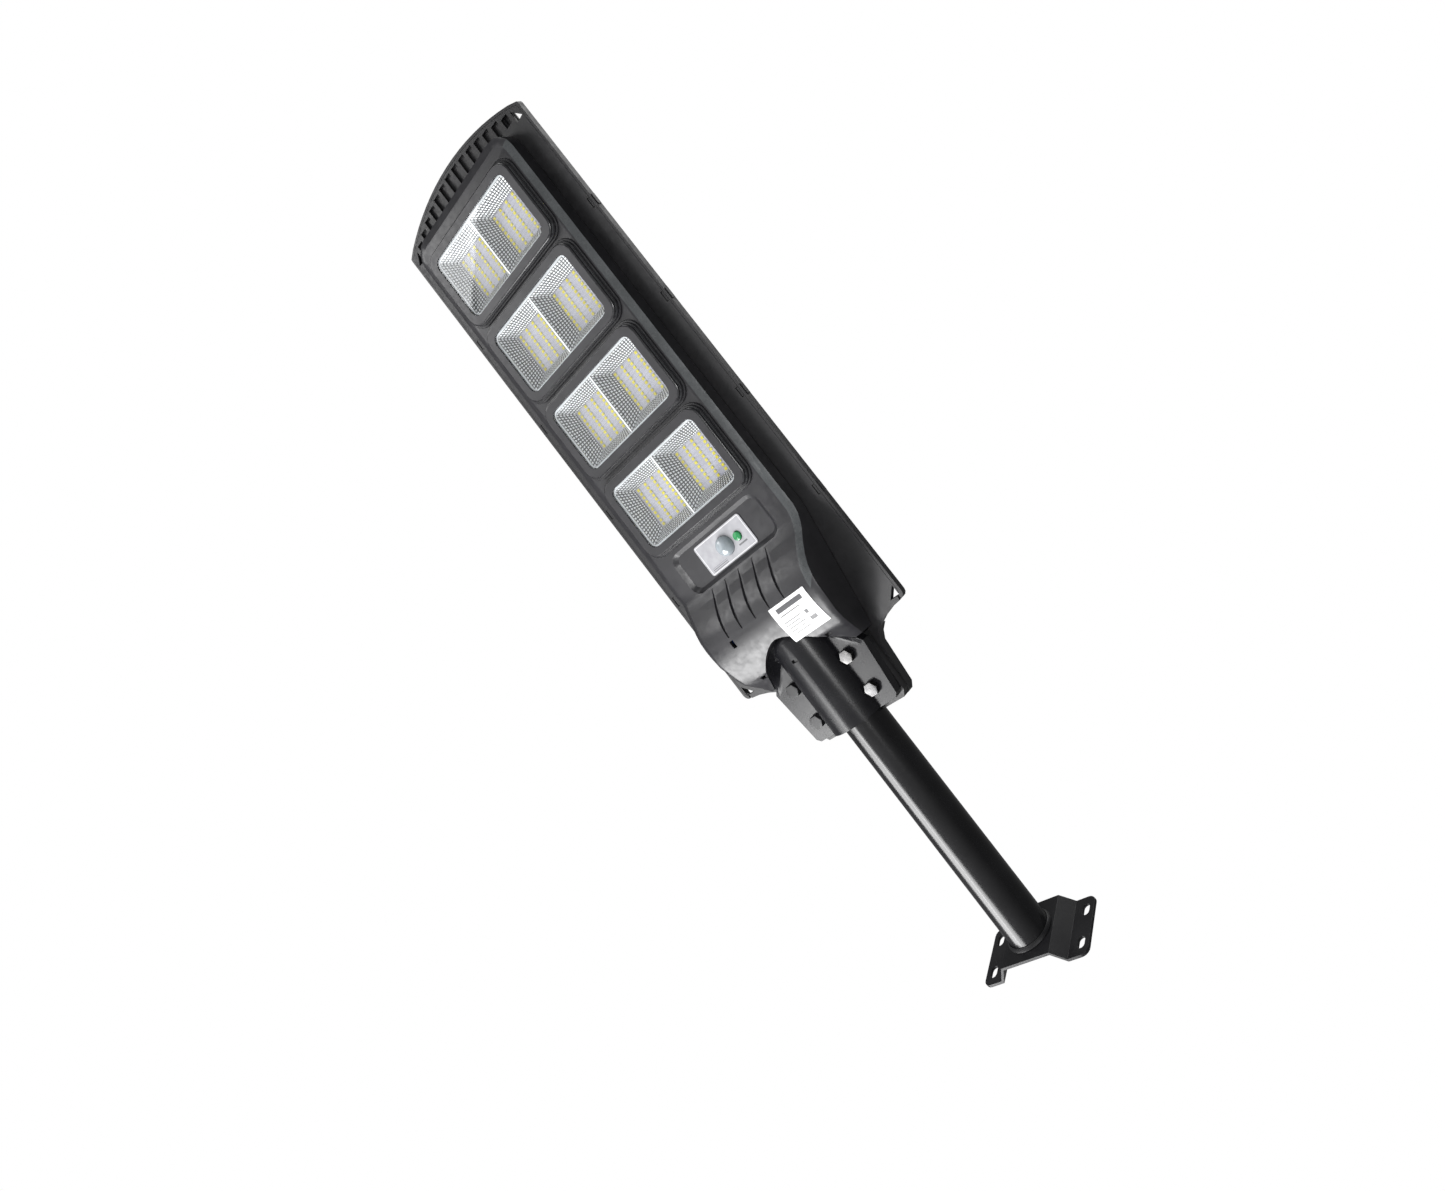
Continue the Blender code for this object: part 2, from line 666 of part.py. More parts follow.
def make_button(parent):
    """The on/off button, drawn about its own axis, which is its sliding axis."""
    under = RECESS_Z + 2.5 * MM + GAP
    profile = [(0, -10.9 * MM), (3.4 * MM, -10.7 * MM), (4.5 * MM, -10.2 * MM),
               (4.75 * MM, -9.6 * MM), (4.75 * MM, under), (6.3 * MM, under),
               (6.3 * MM, under + 1 * MM), (0, under + 1 * MM)]
    button = add_mesh("on_off_button", *turned(profile, 20), GREEN, parent, True)
    button.location = (SENSOR_X, BUTTON_Y, 0.0)


# ---------------------------------------------------------------- electrics

def make_electrics(parent):
    board = add_mesh(
        "controller_board", *box(-396 * MM, -360 * MM, -80 * MM, -33 * MM, 2 * MM, 3.6 * MM),
        BOARD_GREEN, parent)
    parts = [
        box(-392 * MM, -380 * MM, -76 * MM, -64 * MM, -4 * MM, 2.5 * MM),
        box(-376 * MM, -364 * MM, -77 * MM, -69 * MM, -5 * MM, 2.5 * MM),
        cylinder_z(-371 * MM, -60 * MM, 4 * MM, -5 * MM, 2.5 * MM, 16),
        cylinder_z(-371 * MM, -50 * MM, 3.2 * MM, -4 * MM, 2.5 * MM, 14),
        box(-393 * MM, -383 * MM, -58 * MM, -40 * MM, -3 * MM, 2.5 * MM),
    ]
    fuse(board, add_mesh("controller_parts", *merged(*parts), None, parent))
    can = [(0, -32.5 * MM), (8.4 * MM, -32.5 * MM), (9.1 * MM, -31.8 * MM),
           (9.1 * MM, 31.8 * MM), (8.4 * MM, 32.5 * MM), (0, 32.5 * MM)]
    cell = along_y(turned(can, 20))
    for number, (x, y) in enumerate(mirror_pair([(-432 * MM, 33.2 * MM), (-452 * MM, 33.2 * MM)])):
        add_mesh(f"battery_cell_{number + 1}", *shifted(cell, x, y, -12 * MM),
                 WRAP_BLUE, parent, True)
    cradle = add_mesh(
        "battery_cradle", *box(-465 * MM, -420 * MM, -68.5 * MM, 68.5 * MM, -2.4 * MM, 0.2 * MM),
        BLACK_PART, parent)
    rib = box(-442.6 * MM, -441.4 * MM, -66 * MM, 66 * MM, -14 * MM, -1 * MM)
    stops = [box(-463 * MM, -422 * MM, *sorted((side * 66.2 * MM, side * 68.3 * MM)),
                 -14 * MM, -1 * MM) for side in (1, -1)]
    for number, shape in enumerate([rib] + stops):
        fuse(cradle, add_mesh(f"cradle_wall_{number}", *shape, None, parent))


def make_wire(name, points, radius, finish, parent):
    """An insulated wire through its route's points, smoothed with a Catmull-Rom curve."""
    ends = [points[0]] + list(points) + [points[-1]]
    smooth = []
    per_span = 4
    for k in range(1, len(ends) - 2):
        a, b, c, d = (Vector(ends[k + i]) for i in (-1, 0, 1, 2))
        for i in range(per_span):
            t = i / per_span
            smooth.append(0.5 * (2 * b + (c - a) * t + (2 * a - 5 * b + 4 * c - d) * t * t
                                 + (3 * b - a - 3 * c + d) * t ** 3))
    smooth.append(Vector(points[-1]))
    curve = bpy.data.curves.new(name, "CURVE")
    curve.dimensions = "3D"
    curve.bevel_depth = radius
    curve.bevel_resolution = 2
    curve.use_fill_caps = True
    spline = curve.splines.new("POLY")
    spline.points.add(len(smooth) - 1)
    for point, place in zip(spline.points, smooth):
        point.co = (*place, 1.0)
    curve.materials.append(material(name, *finish))
    wire = bpy.data.objects.new(name, curve)
    bpy.context.scene.collection.objects.link(wire)
    wire.parent = parent


def make_wiring(parent):
    led_route = [(x * MM, y * MM, z * MM) for x, y, z in (
        (-357, -60, 5.6), (-340, -66, 6.2), (-300, -70, 6.2), (-200, -70, 6.2),
        (-100, -70, 6.2), (-20, -70, 6.2))]
    make_wire("led_harness", led_route, 1.4 * MM, RUBBER, parent)
    battery_route = [(x * MM, y * MM, z * MM) for x, y, z in (
        (-417, -50, -1), (-412, -52, 2.4), (-405, -54, 4.6), (-399, -56, 5.6), (-391, -58, 5.6))]
    make_wire("battery_lead", battery_route, 1.3 * MM, RUBBER, parent)
    panel_route = [(x * MM, y * MM, z * MM) for x, y, z in (
        (-380, -31, 7.2), (-380, -36, 6.8), (-379, -41, 6.2), (-378, -46, 5.6))]
    make_wire("panel_lead", panel_route, 1.3 * MM, RUBBER, parent)


# ---------------------------------------------------------------- panel side

def rim_outline(inset, corner=6 * MM):
    """The panel rim in plan: bowed front, straight sides and rear, rounded corners."""
    half = RIM_HALF - inset
    rise = RIM_TIP_X - RIM_CORNER_X
    bow = (RIM_HALF ** 2 + rise ** 2) / (2 * rise)
    centre_x = RIM_TIP_X - bow
    radius = bow - inset
    edge_y = half - corner
    edge_angle = math.degrees(math.asin(edge_y / radius))
    side_x = centre_x + radius * math.cos(math.radians(edge_angle)) - corner
    front = arc(centre_x, 0.0, radius, -edge_angle + 1.2, edge_angle - 1.2, 16)
    outline = front + arc(side_x, edge_y, corner, 60, 90, 2)
    outline += arc(RIM_REAR + inset + corner, edge_y, corner, 90, 180, 3)
    outline += arc(RIM_REAR + inset + corner, -edge_y, corner, 180, 270, 3)
    outline += arc(side_x, -edge_y, corner, 270, 300, 2)
    return outline


def neck_outline():
    """The neck behind the panel: concave shoulders running into the clamp."""
    right = [(-505 * MM, 107 * MM), (-516.5 * MM, 107 * MM), (-518 * MM, 96 * MM),
             (-521.5 * MM, 84 * MM), (-526 * MM, 74 * MM), (-532 * MM, 66.5 * MM),
             (-540 * MM, 61.5 * MM), (-586 * MM, 56.5 * MM), (-592 * MM, 52 * MM)]
    return right + [(x, -y) for x, y in reversed(right)]


CORNER_HOLES = [((64, 100.5), (77, 100.5), (65, 110)), ((-512, 99), (-512, 110), (-501, 110))]


def corner_hole_shapes():
    shapes = []
    for side in (1, -1):
        for triangle in CORNER_HOLES:
            outline = [(x * MM, side * y * MM) for x, y in triangle]
            shapes.append(prism(outline, 0.0, 30 * MM))
    return shapes


def tab_spots():
    return mirror_pair([(TAB_FIRST - i * TAB_PITCH, 109.6 * MM) for i in range(4)])


def hex_spots():
    return [(x, side * BOLT_Y) for x in BOLT_X for side in (1, -1)]


def make_base_shell(parent):
    inset = FRAME_WALL + GAP
    base = add_mesh("base_shell", *prism(rim_outline(inset), RIM_Z, PLATE_TOP), DARK_SHELL, parent)
    nose = [(x, y) for x, y in rim_outline(inset)[:17] if abs(y) < 98 * MM]
    nose += [(66.8 * MM, nose[-1][1]), (66.8 * MM, nose[0][1])]
    fuse(base, add_mesh("front_block", *prism(nose, RIM_Z + 0.1 * MM, LIP_Z - GAP), None, parent))
    neck = prism(neck_outline(), RIM_Z, PLATE_TOP)
    fuse(base, add_mesh("neck_plate", *neck, None, parent))
    for number, (start, top) in enumerate(((-516.3 * MM, 14.5 * MM), (-524 * MM, NECK_TOP))):
        shoulder = prism([(x, y) for x, y in neck_outline() if x < start], PLATE_TOP - 1 * MM, top)
        fuse(base, add_mesh(f"neck_shoulder_{number}", *shoulder, None, parent))
    block = [(-505 * MM, 38 * MM), (-511.6 * MM, 46 * MM), (-520.3 * MM, 54 * MM),
             (-522 * MM, 60 * MM), (-586 * MM, 56 * MM), (-592 * MM, 51.5 * MM)]
    block += [(x, -y) for x, y in reversed(block)]
    fuse(base, add_mesh("clamp_block", *prism(block, GAP, RIM_Z + 1 * MM), None, parent))
    dome = along_x(turned([(0, -593 * MM), (CLAMP_RADIUS - 2 * MM, -593 * MM),
                           (CLAMP_RADIUS, -590 * MM), (CLAMP_RADIUS, -521 * MM),
                           (CLAMP_RADIUS - 4 * MM, -516.6 * MM), (0, -516.6 * MM)], 36))
    dome_piece = add_mesh("clamp_dome", *dome, None, parent)
    cut(dome_piece, add_mesh(
        "dome_trim", *box(-0.6, -0.5, -0.05, 0.05, -0.05, 13 * MM), None, parent))
    fuse(base, dome_piece)
    bore = along_x(turned([(0, -600 * MM), (BORE_RADIUS, -600 * MM),
                           (BORE_RADIUS, BORE_END), (0, BORE_END)], 48))
    cut(base, add_mesh("upper_bore", *bore, None, parent))
    for number, (x, y) in enumerate(hex_spots()):
        hole = cylinder_z(x, y, BOLT_RADIUS + 0.4 * MM, -5 * MM, 30 * MM, 16)
        pocket = prism(hexagon(x, y, HEX_FLATS + 0.8 * MM), 9.2 * MM, 30 * MM)
        cut(base, add_mesh(f"bolt_hole_{number}", *hole, None, parent),
            add_mesh(f"nut_pocket_{number}", *pocket, None, parent))
    pitch = 14 * MM
    for number in range(-7, 7):
        y0 = number * pitch + 2.3 * MM
        y1 = y0 + pitch - 4.6 * MM
        reach = RIM_CORNER_X + (RIM_TIP_X - RIM_CORNER_X) * (
            1 - (max(abs(y0), abs(y1)) / RIM_HALF) ** 2) - 5.5 * MM
        well = box(69.2 * MM, reach, y0, y1, 5 * MM, 12.6 * MM)
        cut(base, add_mesh(f"front_well_{number + 7}", *well, None, parent))
    for number, (x, y) in enumerate(tab_spots()):
        slot = box(x - 5.6 * MM, x + 5.6 * MM, y - 1.2 * MM, y + 1.2 * MM, 5 * MM, 20 * MM)
        cut(base, add_mesh(f"tab_slot_{number}", *slot, None, parent))
    for number, shape in enumerate(corner_hole_shapes()):
        cut(base, add_mesh(f"corner_hole_{number}", *shape, None, parent))
    for number, (x, y) in enumerate(mirror_pair(SCREW_SPOTS)):
        hole = turned([(0, 5 * MM), (1.8 * MM, 5 * MM), (1.8 * MM, 9.8 * MM),
                       (3.3 * MM, 9.8 * MM), (3.3 * MM, 20 * MM), (0, 20 * MM)], 12, x, y)
        cut(base, add_mesh(f"screw_hole_{number}", *hole, None, parent))
    opening = box(-397 * MM, -363 * MM, -33 * MM, -7 * MM, 5 * MM, 20 * MM)
    cut(base, add_mesh("junction_opening", *opening, None, parent))


PANEL = (-498 * MM, 65 * MM, 106 * MM)


def make_panel(parent):
    x0, x1, half = PANEL
    outline = rounded(x0, x1, -half, half, 2 * MM, 2)
    add_mesh("solar_panel", *prism(outline, PANEL_Z, PANEL_Z + PANEL_THICK), CELL_BLUE, parent)
    rings = [rounded(x0 + inset, x1 - inset, -half + inset, half - inset, 2 * MM, 2)
             for inset in (1 * MM, 5 * MM)]
    add_mesh("panel_tape", *ring_solid(*rings, PLATE_TOP + GAP, PANEL_Z - GAP), RUBBER, parent)
    add_mesh("panel_junction",
             *box(-394 * MM, -366 * MM, -29 * MM, -10 * MM, 5.6 * MM, PANEL_Z - GAP),
             BLACK_PART, parent)
    frame = add_mesh("panel_frame", *prism(rim_outline(0.0), RIM_Z, FRAME_BACK),
                     DARK_SHELL, parent)
    inner = prism(rim_outline(FRAME_WALL), 0.0, LIP_Z)
    sight = rounded(-492 * MM, 59 * MM, -101 * MM, 101 * MM, 3 * MM)
    cut(frame, add_mesh("frame_inside", *inner, None, parent),
        add_mesh("frame_sight", *prism(sight, 0.0, 30 * MM), None, parent))
    gate = box(-520 * MM, -507 * MM, -109.2 * MM, 109.2 * MM, 0.0, PLATE_TOP + GAP)
    cut(frame, add_mesh("frame_gate", *gate, None, parent))
    for number, (x, y) in enumerate(tab_spots()):
        side = 1 if y > 0 else -1
        hook = box(x - 5 * MM, x + 5 * MM, y - 0.7 * MM, y + 0.7 * MM, RIM_Z + 0.6 * MM,
                   LIP_Z + 0.5 * MM)
        outside = sorted((side * (RIM_HALF - 1 * MM), side * (RIM_HALF + 1 * MM)))
        bump = box(x - 6 * MM, x + 6 * MM, *outside, RIM_Z + 1.2 * MM, RIM_Z + 5.5 * MM)
        fuse(frame, add_mesh(f"hook_{number}", *hook, None, parent),
             add_mesh(f"bump_{number}", *bump, None, parent))
    for number, shape in enumerate(corner_hole_shapes()):
        cut(frame, add_mesh(f"frame_hole_{number}", *shape, None, parent))


# ---------------------------------------------------------------- pipe clamp

COVER_SIDE = (0, 4, 8, 12, 16, 20, 24, 27, 29.5, 31, 33, 37, 42, 47, 52, 57, 63)
COVER_DEPTH = (0, 0.8, 2, 3.5, 5.5, 8, 11, 15, 21)


def cover_z(x, y):
    """The clamp cover's surface: a half-round back with a swept fairing down to its flange."""
    depth = nose_front(y) - x
    spread = min(abs(y) / (40 * MM), 1.0)
    edge = NOSE_EDGE_Z * (1 - spread) + (face_z(nose_front(y)) + 0.6 * MM) * spread
    fall = (1 - min(depth / (10 * MM), 1.0)) ** 2
    fairing = FLANGE_Z + (edge - FLANGE_Z) * fall
    if abs(y) >= CLAMP_RADIUS:
        return min(fairing, FLANGE_Z)
    crown = math.sqrt(CLAMP_RADIUS ** 2 - y ** 2)
    shoulder = min(-NOSE_EDGE_Z, 0.75 * crown)
    rise = math.sqrt(1 - (1 - min(depth / (8 * MM), 1.0)) ** 2)
    return min(fairing, -(shoulder + (crown - shoulder) * rise), FLANGE_Z)


def cover_solid():
    sides = [-y * MM for y in reversed(COVER_SIDE[1:])] + [y * MM for y in COVER_SIDE]
    verts = []
    for y in sides:
        front = nose_front(y)
        for x in [front - depth * MM for depth in COVER_DEPTH] + [CLAMP_END]:
            verts.append((x, y, cover_z(x, y)))
    count = len(COVER_DEPTH) + 1
    upper = len(verts)
    verts += [(x, y, -GAP) for x, y, z in verts]
    faces = []
    for j in range(len(sides) - 1):
        for i in range(count - 1):
            a = j * count + i
            faces.append((a, a + 1, a + count + 1, a + count))
            faces.append((upper + a, upper + a + 1, upper + a + count + 1, upper + a + count))
        for a in (j * count, j * count + count - 1):
            faces.append((a, a + count, upper + a + count, upper + a))
    for start in (0, (len(sides) - 1) * count):
        for a in range(start, start + count - 1):
            faces.append((a, a + 1, upper + a + 1, upper + a))
    return verts, faces


def make_clamp(parent):
    cover = add_mesh("clamp_cover", *cover_solid(), CHARCOAL, parent)
    plan = [(-470 * MM, 62.5 * MM), (-521 * MM, 62.5 * MM), (-583 * MM, 55 * MM),
            (CLAMP_END + 0.2 * MM, 51 * MM)]
    plan += [(x, -y) for x, y in reversed(plan)]
    boolean(cover, add_mesh("cover_trim", *prism(plan, -0.06, 0.01), None, parent), "INTERSECT")
    bore = along_x(turned([(0, -600 * MM), (BORE_RADIUS, -600 * MM),
                           (BORE_RADIUS, BORE_END), (0, BORE_END)], 48))
    cut(cover, add_mesh("lower_bore", *bore, None, parent))
    hollow = along_x(turned([(0, -519 * MM), (19 * MM, -519 * MM), (19 * MM, -502 * MM),
                             (9 * MM, -492 * MM), (0, -492 * MM)], 24))
    cut(cover, add_mesh("nose_hollow", *hollow, None, parent))
    for number, (x, y) in enumerate(hex_spots()):
        scallop = cylinder_z(x, y, 9 * MM, -40 * MM, FLANGE_Z, 20)
        hole = cylinder_z(x, y, BOLT_RADIUS + 0.4 * MM, -40 * MM, 10 * MM, 16)
        cut(cover, add_mesh(f"scallop_{number}", *scallop, None, parent),
            add_mesh(f"cover_hole_{number}", *hole, None, parent))
    notch = box(-506.8 * MM, -503.2 * MM, -3.5 * MM, 3.5 * MM, -40 * MM, -30.5 * MM)
    cut(cover, add_mesh("ridge_notch", *notch, None, parent))
    for number, (x, y) in enumerate(hex_spots()):
        seat = FLANGE_Z - GAP
        bolt = add_mesh(f"clamp_bolt_{number + 1}",
                        *prism(hexagon(x, y, HEX_FLATS), seat - 5.3 * MM, seat), ZINC, parent)
        shank = cylinder_z(x, y, BOLT_RADIUS, seat - 1 * MM, 18 * MM, 12)
        fuse(bolt, add_mesh(f"shank_{number}", *shank, None, parent))
        nut = add_mesh(f"clamp_nut_{number + 1}",
                       *prism(hexagon(x, y, HEX_FLATS), 9.6 * MM, 16 * MM), ZINC, parent)
        bore = cylinder_z(x, y, BOLT_RADIUS + GAP, 5 * MM, 20 * MM, 12)
        cut(nut, add_mesh(f"nut_bore_{number}", *bore, None, parent))


def make_label(parent):
    """A thin label that follows the hump's curve."""
    count = 8
    stations = [-452 * MM - 39 * MM * i / (count - 1) for i in range(count)]
    rings = []
    for y in (17 * MM, 65 * MM):
        outer = [(x, y, face_z(x) - 0.55 * MM) for x in stations]
        inner = [(x, y, face_z(x) - 0.3 * MM) for x in reversed(stations)]
        rings.append(outer + inner)
    add_mesh("rating_label", *loft(rings), PAPER, parent)


def main():
    clear_scene()
    arm = bpy.data.objects.new("arm_frame", None)
    bpy.context.scene.collection.objects.link(arm)
    arm.location = (HAT_DEPTH + SHEET, 0.0, 0.0)
    arm.rotation_euler = (0.0, -ARM_TILT, 0.0)
    head = bpy.data.objects.new("head_frame", None)
    bpy.context.scene.collection.objects.link(head)
    head.parent = arm
    head.location = (HEAD_REACH, 0.0, 0.0)
    make_bracket()
    make_arm(arm)
    make_housing(head)
    make_housing_fittings(head)
    for number in range(WINDOW_COUNT):
        make_window(number, head)
    make_heat_plate(head)
    make_sensor(head)
    make_button(head)
    make_electrics(head)
    make_wiring(head)
    make_base_shell(head)
    make_panel(head)
    make_clamp(head)
    make_label(head)


main()
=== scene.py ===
import json
import math

import bmesh
import bpy
from mathutils import Matrix, Vector

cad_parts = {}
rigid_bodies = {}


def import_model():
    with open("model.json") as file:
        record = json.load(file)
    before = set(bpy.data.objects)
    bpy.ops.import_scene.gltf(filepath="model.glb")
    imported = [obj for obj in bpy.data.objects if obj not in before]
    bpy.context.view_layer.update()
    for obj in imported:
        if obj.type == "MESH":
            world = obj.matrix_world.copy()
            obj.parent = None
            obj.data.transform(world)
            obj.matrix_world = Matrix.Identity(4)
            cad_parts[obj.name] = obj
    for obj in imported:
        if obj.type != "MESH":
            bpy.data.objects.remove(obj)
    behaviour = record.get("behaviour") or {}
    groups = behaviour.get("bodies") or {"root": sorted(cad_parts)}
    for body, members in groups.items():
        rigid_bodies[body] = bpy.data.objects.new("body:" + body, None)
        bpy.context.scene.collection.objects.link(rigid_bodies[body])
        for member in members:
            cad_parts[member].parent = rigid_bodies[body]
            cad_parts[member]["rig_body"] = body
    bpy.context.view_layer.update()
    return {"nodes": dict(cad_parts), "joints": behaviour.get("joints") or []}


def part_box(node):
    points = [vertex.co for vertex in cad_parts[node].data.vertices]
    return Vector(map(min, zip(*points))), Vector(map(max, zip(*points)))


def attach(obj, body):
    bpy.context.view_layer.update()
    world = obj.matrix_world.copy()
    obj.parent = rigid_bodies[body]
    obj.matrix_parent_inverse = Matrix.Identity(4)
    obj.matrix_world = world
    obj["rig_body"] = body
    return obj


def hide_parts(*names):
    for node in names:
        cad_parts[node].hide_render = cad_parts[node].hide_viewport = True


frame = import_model()
NODES = frame["nodes"]
SWIVEL = next(j for j in frame["joints"] if j["name"] == "head_swivel")

# The lamp head's own frame, in millimetres: x along the arm, y across, z from the light
# side to the panel side, with x = 0 at the first window's centre and z = 0 on the arm axis.
ARM_AXIS = Vector(SWIVEL["axis"]).normalized()
ARM_POINT = Vector(SWIVEL["pos_m"])
LENS_LOW, LENS_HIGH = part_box("window_lens_1")
LENS_MIDDLE = (LENS_LOW + LENS_HIGH) / 2
ORIGIN = ARM_POINT + ARM_AXIS * (LENS_MIDDLE - ARM_POINT).dot(ARM_AXIS)
ACROSS = Vector((0.0, 1.0, 0.0))
RISE = ARM_AXIS.cross(ACROSS)
TURN = Matrix((ARM_AXIS, ACROSS, RISE)).transposed()
HEAD = Matrix.Translation(ORIGIN) @ TURN.to_4x4() @ Matrix.Scale(0.001, 4)
TILT = math.atan2(ARM_AXIS.z, ARM_AXIS.x)

WINDOWS = 4
PITCH = 100.0
CLAMP_BOLTS = 4

# A reflector: its flange, and two cups that narrow from the rim down to the board.
RIM_Z = -15.5
CUP_FLOOR = -0.45
FLANGE_X = 38.5
FLANGE_Y = 69.5
CUP_X = 34.5
CUP_Y = 65.5
RIDGE_Y = 0.9
FOOT_X = 23.5
FOOT_INNER_Y = 12.8
FOOT_OUTER_Y = 55.1
CUP_MIDDLE = (0.0, 33.6, -8.0)
FACETS_ALONG = 19
FACETS_ACROSS = 17
FACET_ROWS = 6
FACET_EDGE = 0.2
FACET_RISE = 0.2
FACET_PEAK = 0.3

# A light board and its chips.
BOARD_X = 27.0
BOARD_Y = 60.0
BOARD_CORNER = 2.0
CHIP_ROWS = 4
CHIP_COLUMNS = 10
FIRST_CHIP_X = -21.0
CHIP_STEP = 4.667
FIRST_ROW_Y = 15.4
ROW_STEP = 11.8

# The window frame's opening, where its ledges start.
FRAME_X = 44.1
FRAME_Y = 75.6
FRAME_CORNER = 12.8
FRAME_Y_GROWTH = 1.25

# How bright the surroundings are as light on the lamp, and how much the floor glows to
# the camera, which sees the background at full strength.
WORLD_LIGHT = 0.17
FLOOR_GLOW = 0.62


# ------------------------------------------------------------------ meshes

def link(mesh, name, material, body):
    piece = bpy.data.objects.new(name, mesh)
    bpy.context.scene.collection.objects.link(piece)
    for item in material if isinstance(material, (list, tuple)) else [material]:
        mesh.materials.append(item)
    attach(piece, body)
    return piece


def shade(mesh, angle):
    mesh.shade_smooth()
    mesh.set_sharp_from_angle(angle=math.radians(angle))


def head_piece(name, bm, material, smooth=None):
    """A piece drawn in the head's frame in millimetres."""
    bmesh.ops.recalc_face_normals(bm, faces=bm.faces)
    bm.transform(HEAD)
    mesh = bpy.data.meshes.new(name)
    bm.to_mesh(mesh)
    bm.free()
    if smooth:
        shade(mesh, smooth)
    return link(mesh, name, material, "head")


def refined(node, name, material, width):
    """A CAD node's shape with its edges rounded as moulding or pressing leaves them."""
    bm = bmesh.new()
    bm.from_mesh(NODES[node].data)
    bmesh.ops.remove_doubles(bm, verts=bm.verts, dist=3e-6)
    bmesh.ops.join_triangles(bm, faces=bm.faces, angle_face_threshold=math.radians(1),
                             angle_shape_threshold=math.radians(120))
    mesh = bpy.data.meshes.new(name)
    bm.to_mesh(mesh)
    bm.free()
    mesh.shade_smooth()
    piece = link(mesh, name, material, NODES[node]["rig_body"])
    bevel = piece.modifiers.new("rounded_edges", "BEVEL")
    bevel.width = width / 1000
    bevel.segments = 2
    bevel.limit_method = "ANGLE"
    bevel.angle_limit = math.radians(32)
    bevel.use_clamp_overlap = True
    bevel.miter_outer = "MITER_ARC"
    normals = piece.modifiers.new("even_shading", "WEIGHTED_NORMAL")
    normals.keep_sharp = True
    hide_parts(node)
    return piece


def add_box(bm, x0, x1, y0, y1, z0, z1, index):
    corners = [bm.verts.new((x, y, z)) for z in (z0, z1)
               for x, y in ((x0, y0), (x1, y0), (x1, y1), (x0, y1))]
    faces = ((0, 1, 2, 3), (4, 5, 6, 7), (0, 1, 5, 4), (1, 2, 6, 5), (2, 3, 7, 6), (3, 0, 4, 7))
    for face in faces:
        bm.faces.new([corners[i] for i in face]).material_index = index


def outline(half_x, half_y, radius, steps=6):
    points = []
    for corner in range(4):
        sx = (1, -1, -1, 1)[corner]
        sy = (1, 1, -1, -1)[corner]
        for i in range(steps + 1):
            a = math.radians(90 * corner + 90 * i / steps)
            points.append((sx * (half_x - radius) + radius * math.cos(a),
                           sy * (half_y - radius) + radius * math.sin(a)))
    return points


def loft_loop(bm, rings):
    """Joins rings of points into a closed band, the last ring back to the first."""
    loops = [[bm.verts.new(p) for p in ring] for ring in rings]
    count = len(loops[0])
    for low, high in zip(loops, loops[1:] + loops[:1]):
        for i in range(count):
            j = (i + 1) % count
            bm.faces.new((low[i], low[j], high[j], high[i]))


# ------------------------------------------------------------------ materials

class Nodes:
    """A short way to write a material's node tree."""

    def __init__(self, name):
        self.material = bpy.data.materials.new(name)
        self.material.use_nodes = True
        self.tree = self.material.node_tree
        self.shader = self.tree.nodes["Principled BSDF"]

    def node(self, kind, **settings):
        made = self.tree.nodes.new("ShaderNode" + kind)
        for key, value in settings.items():
            setattr(made, key, value)
        return made

    def wire(self, source, target):
        self.tree.links.new(source, target)

    def set(self, **values):
        for key, value in values.items():
            self.shader.inputs[key.replace("_", " ")].default_value = value

    def place(self):
        return self.node("TexCoord").outputs["Object"]

    def head_place(self):
        """Coordinates along and across the lamp head, in metres."""
        mapping = self.node("Mapping", vector_type="TEXTURE")
        mapping.inputs["Location"].default_value = ORIGIN
        mapping.inputs["Rotation"].default_value = (0.0, -TILT, 0.0)
        self.wire(self.place(), mapping.inputs["Vector"])
        split = self.node("SeparateXYZ")
        self.wire(mapping.outputs["Vector"], split.inputs["Vector"])
        return split.outputs["X"], split.outputs["Y"]

    def noise(self, scale, detail=3.0):
        texture = self.node("TexNoise")
        texture.inputs["Scale"].default_value = scale
        texture.inputs["Detail"].default_value = detail
        self.wire(self.place(), texture.inputs["Vector"])
        return texture.outputs["Fac"]

    def math(self, operation, first, second=None):
        made = self.node("Math", operation=operation)
        for socket, value in zip(made.inputs, (first, second)):
            if value is None:
                continue
            if isinstance(value, (int, float)):
                socket.default_value = value
            else:
                self.wire(value, socket)
        return made.outputs["Value"]

    def within(self, value, low, high):
        above = self.math("GREATER_THAN", value, low)
        below = self.math("LESS_THAN", value, high)
        return self.math("MULTIPLY", above, below)

    def stripes(self, value, pitch, share):
        """1 on a line at each multiple of pitch, as wide as this share of it."""
        turns = self.math("FRACT", self.math("DIVIDE", value, pitch))
        return self.math("LESS_THAN", turns, share)

    def ramp(self, value, low, high):
        """Spreads the middle of a noise, where most of it lies, over low to high."""
        spread = self.node("MapRange")
        spread.inputs["From Min"].default_value = 0.35
        spread.inputs["From Max"].default_value = 0.65
        spread.inputs["To Min"].default_value = low
        spread.inputs["To Max"].default_value = high
        self.wire(value, spread.inputs["Value"])
        return spread.outputs["Result"]

    def mix(self, factor, first, second):
        made = self.node("Mix", data_type="RGBA")
        self.wire(factor, made.inputs["Factor"])
        for socket, value in ((made.inputs[6], first), (made.inputs[7], second)):
            if isinstance(value, tuple):
                socket.default_value = (*value, 1.0)
            else:
                self.wire(value, socket)
        return made.outputs[2]

    def color(self, value):
        self.wire(value, self.shader.inputs["Base Color"])

    def rough(self, value):
        self.wire(value, self.shader.inputs["Roughness"])

    def bump(self, height, distance, strength):
        made = self.node("Bump")
        made.inputs["Strength"].default_value = strength
        made.inputs["Distance"].default_value = distance
        self.wire(height, made.inputs["Height"])
        self.wire(made.outputs["Normal"], self.shader.inputs["Normal"])


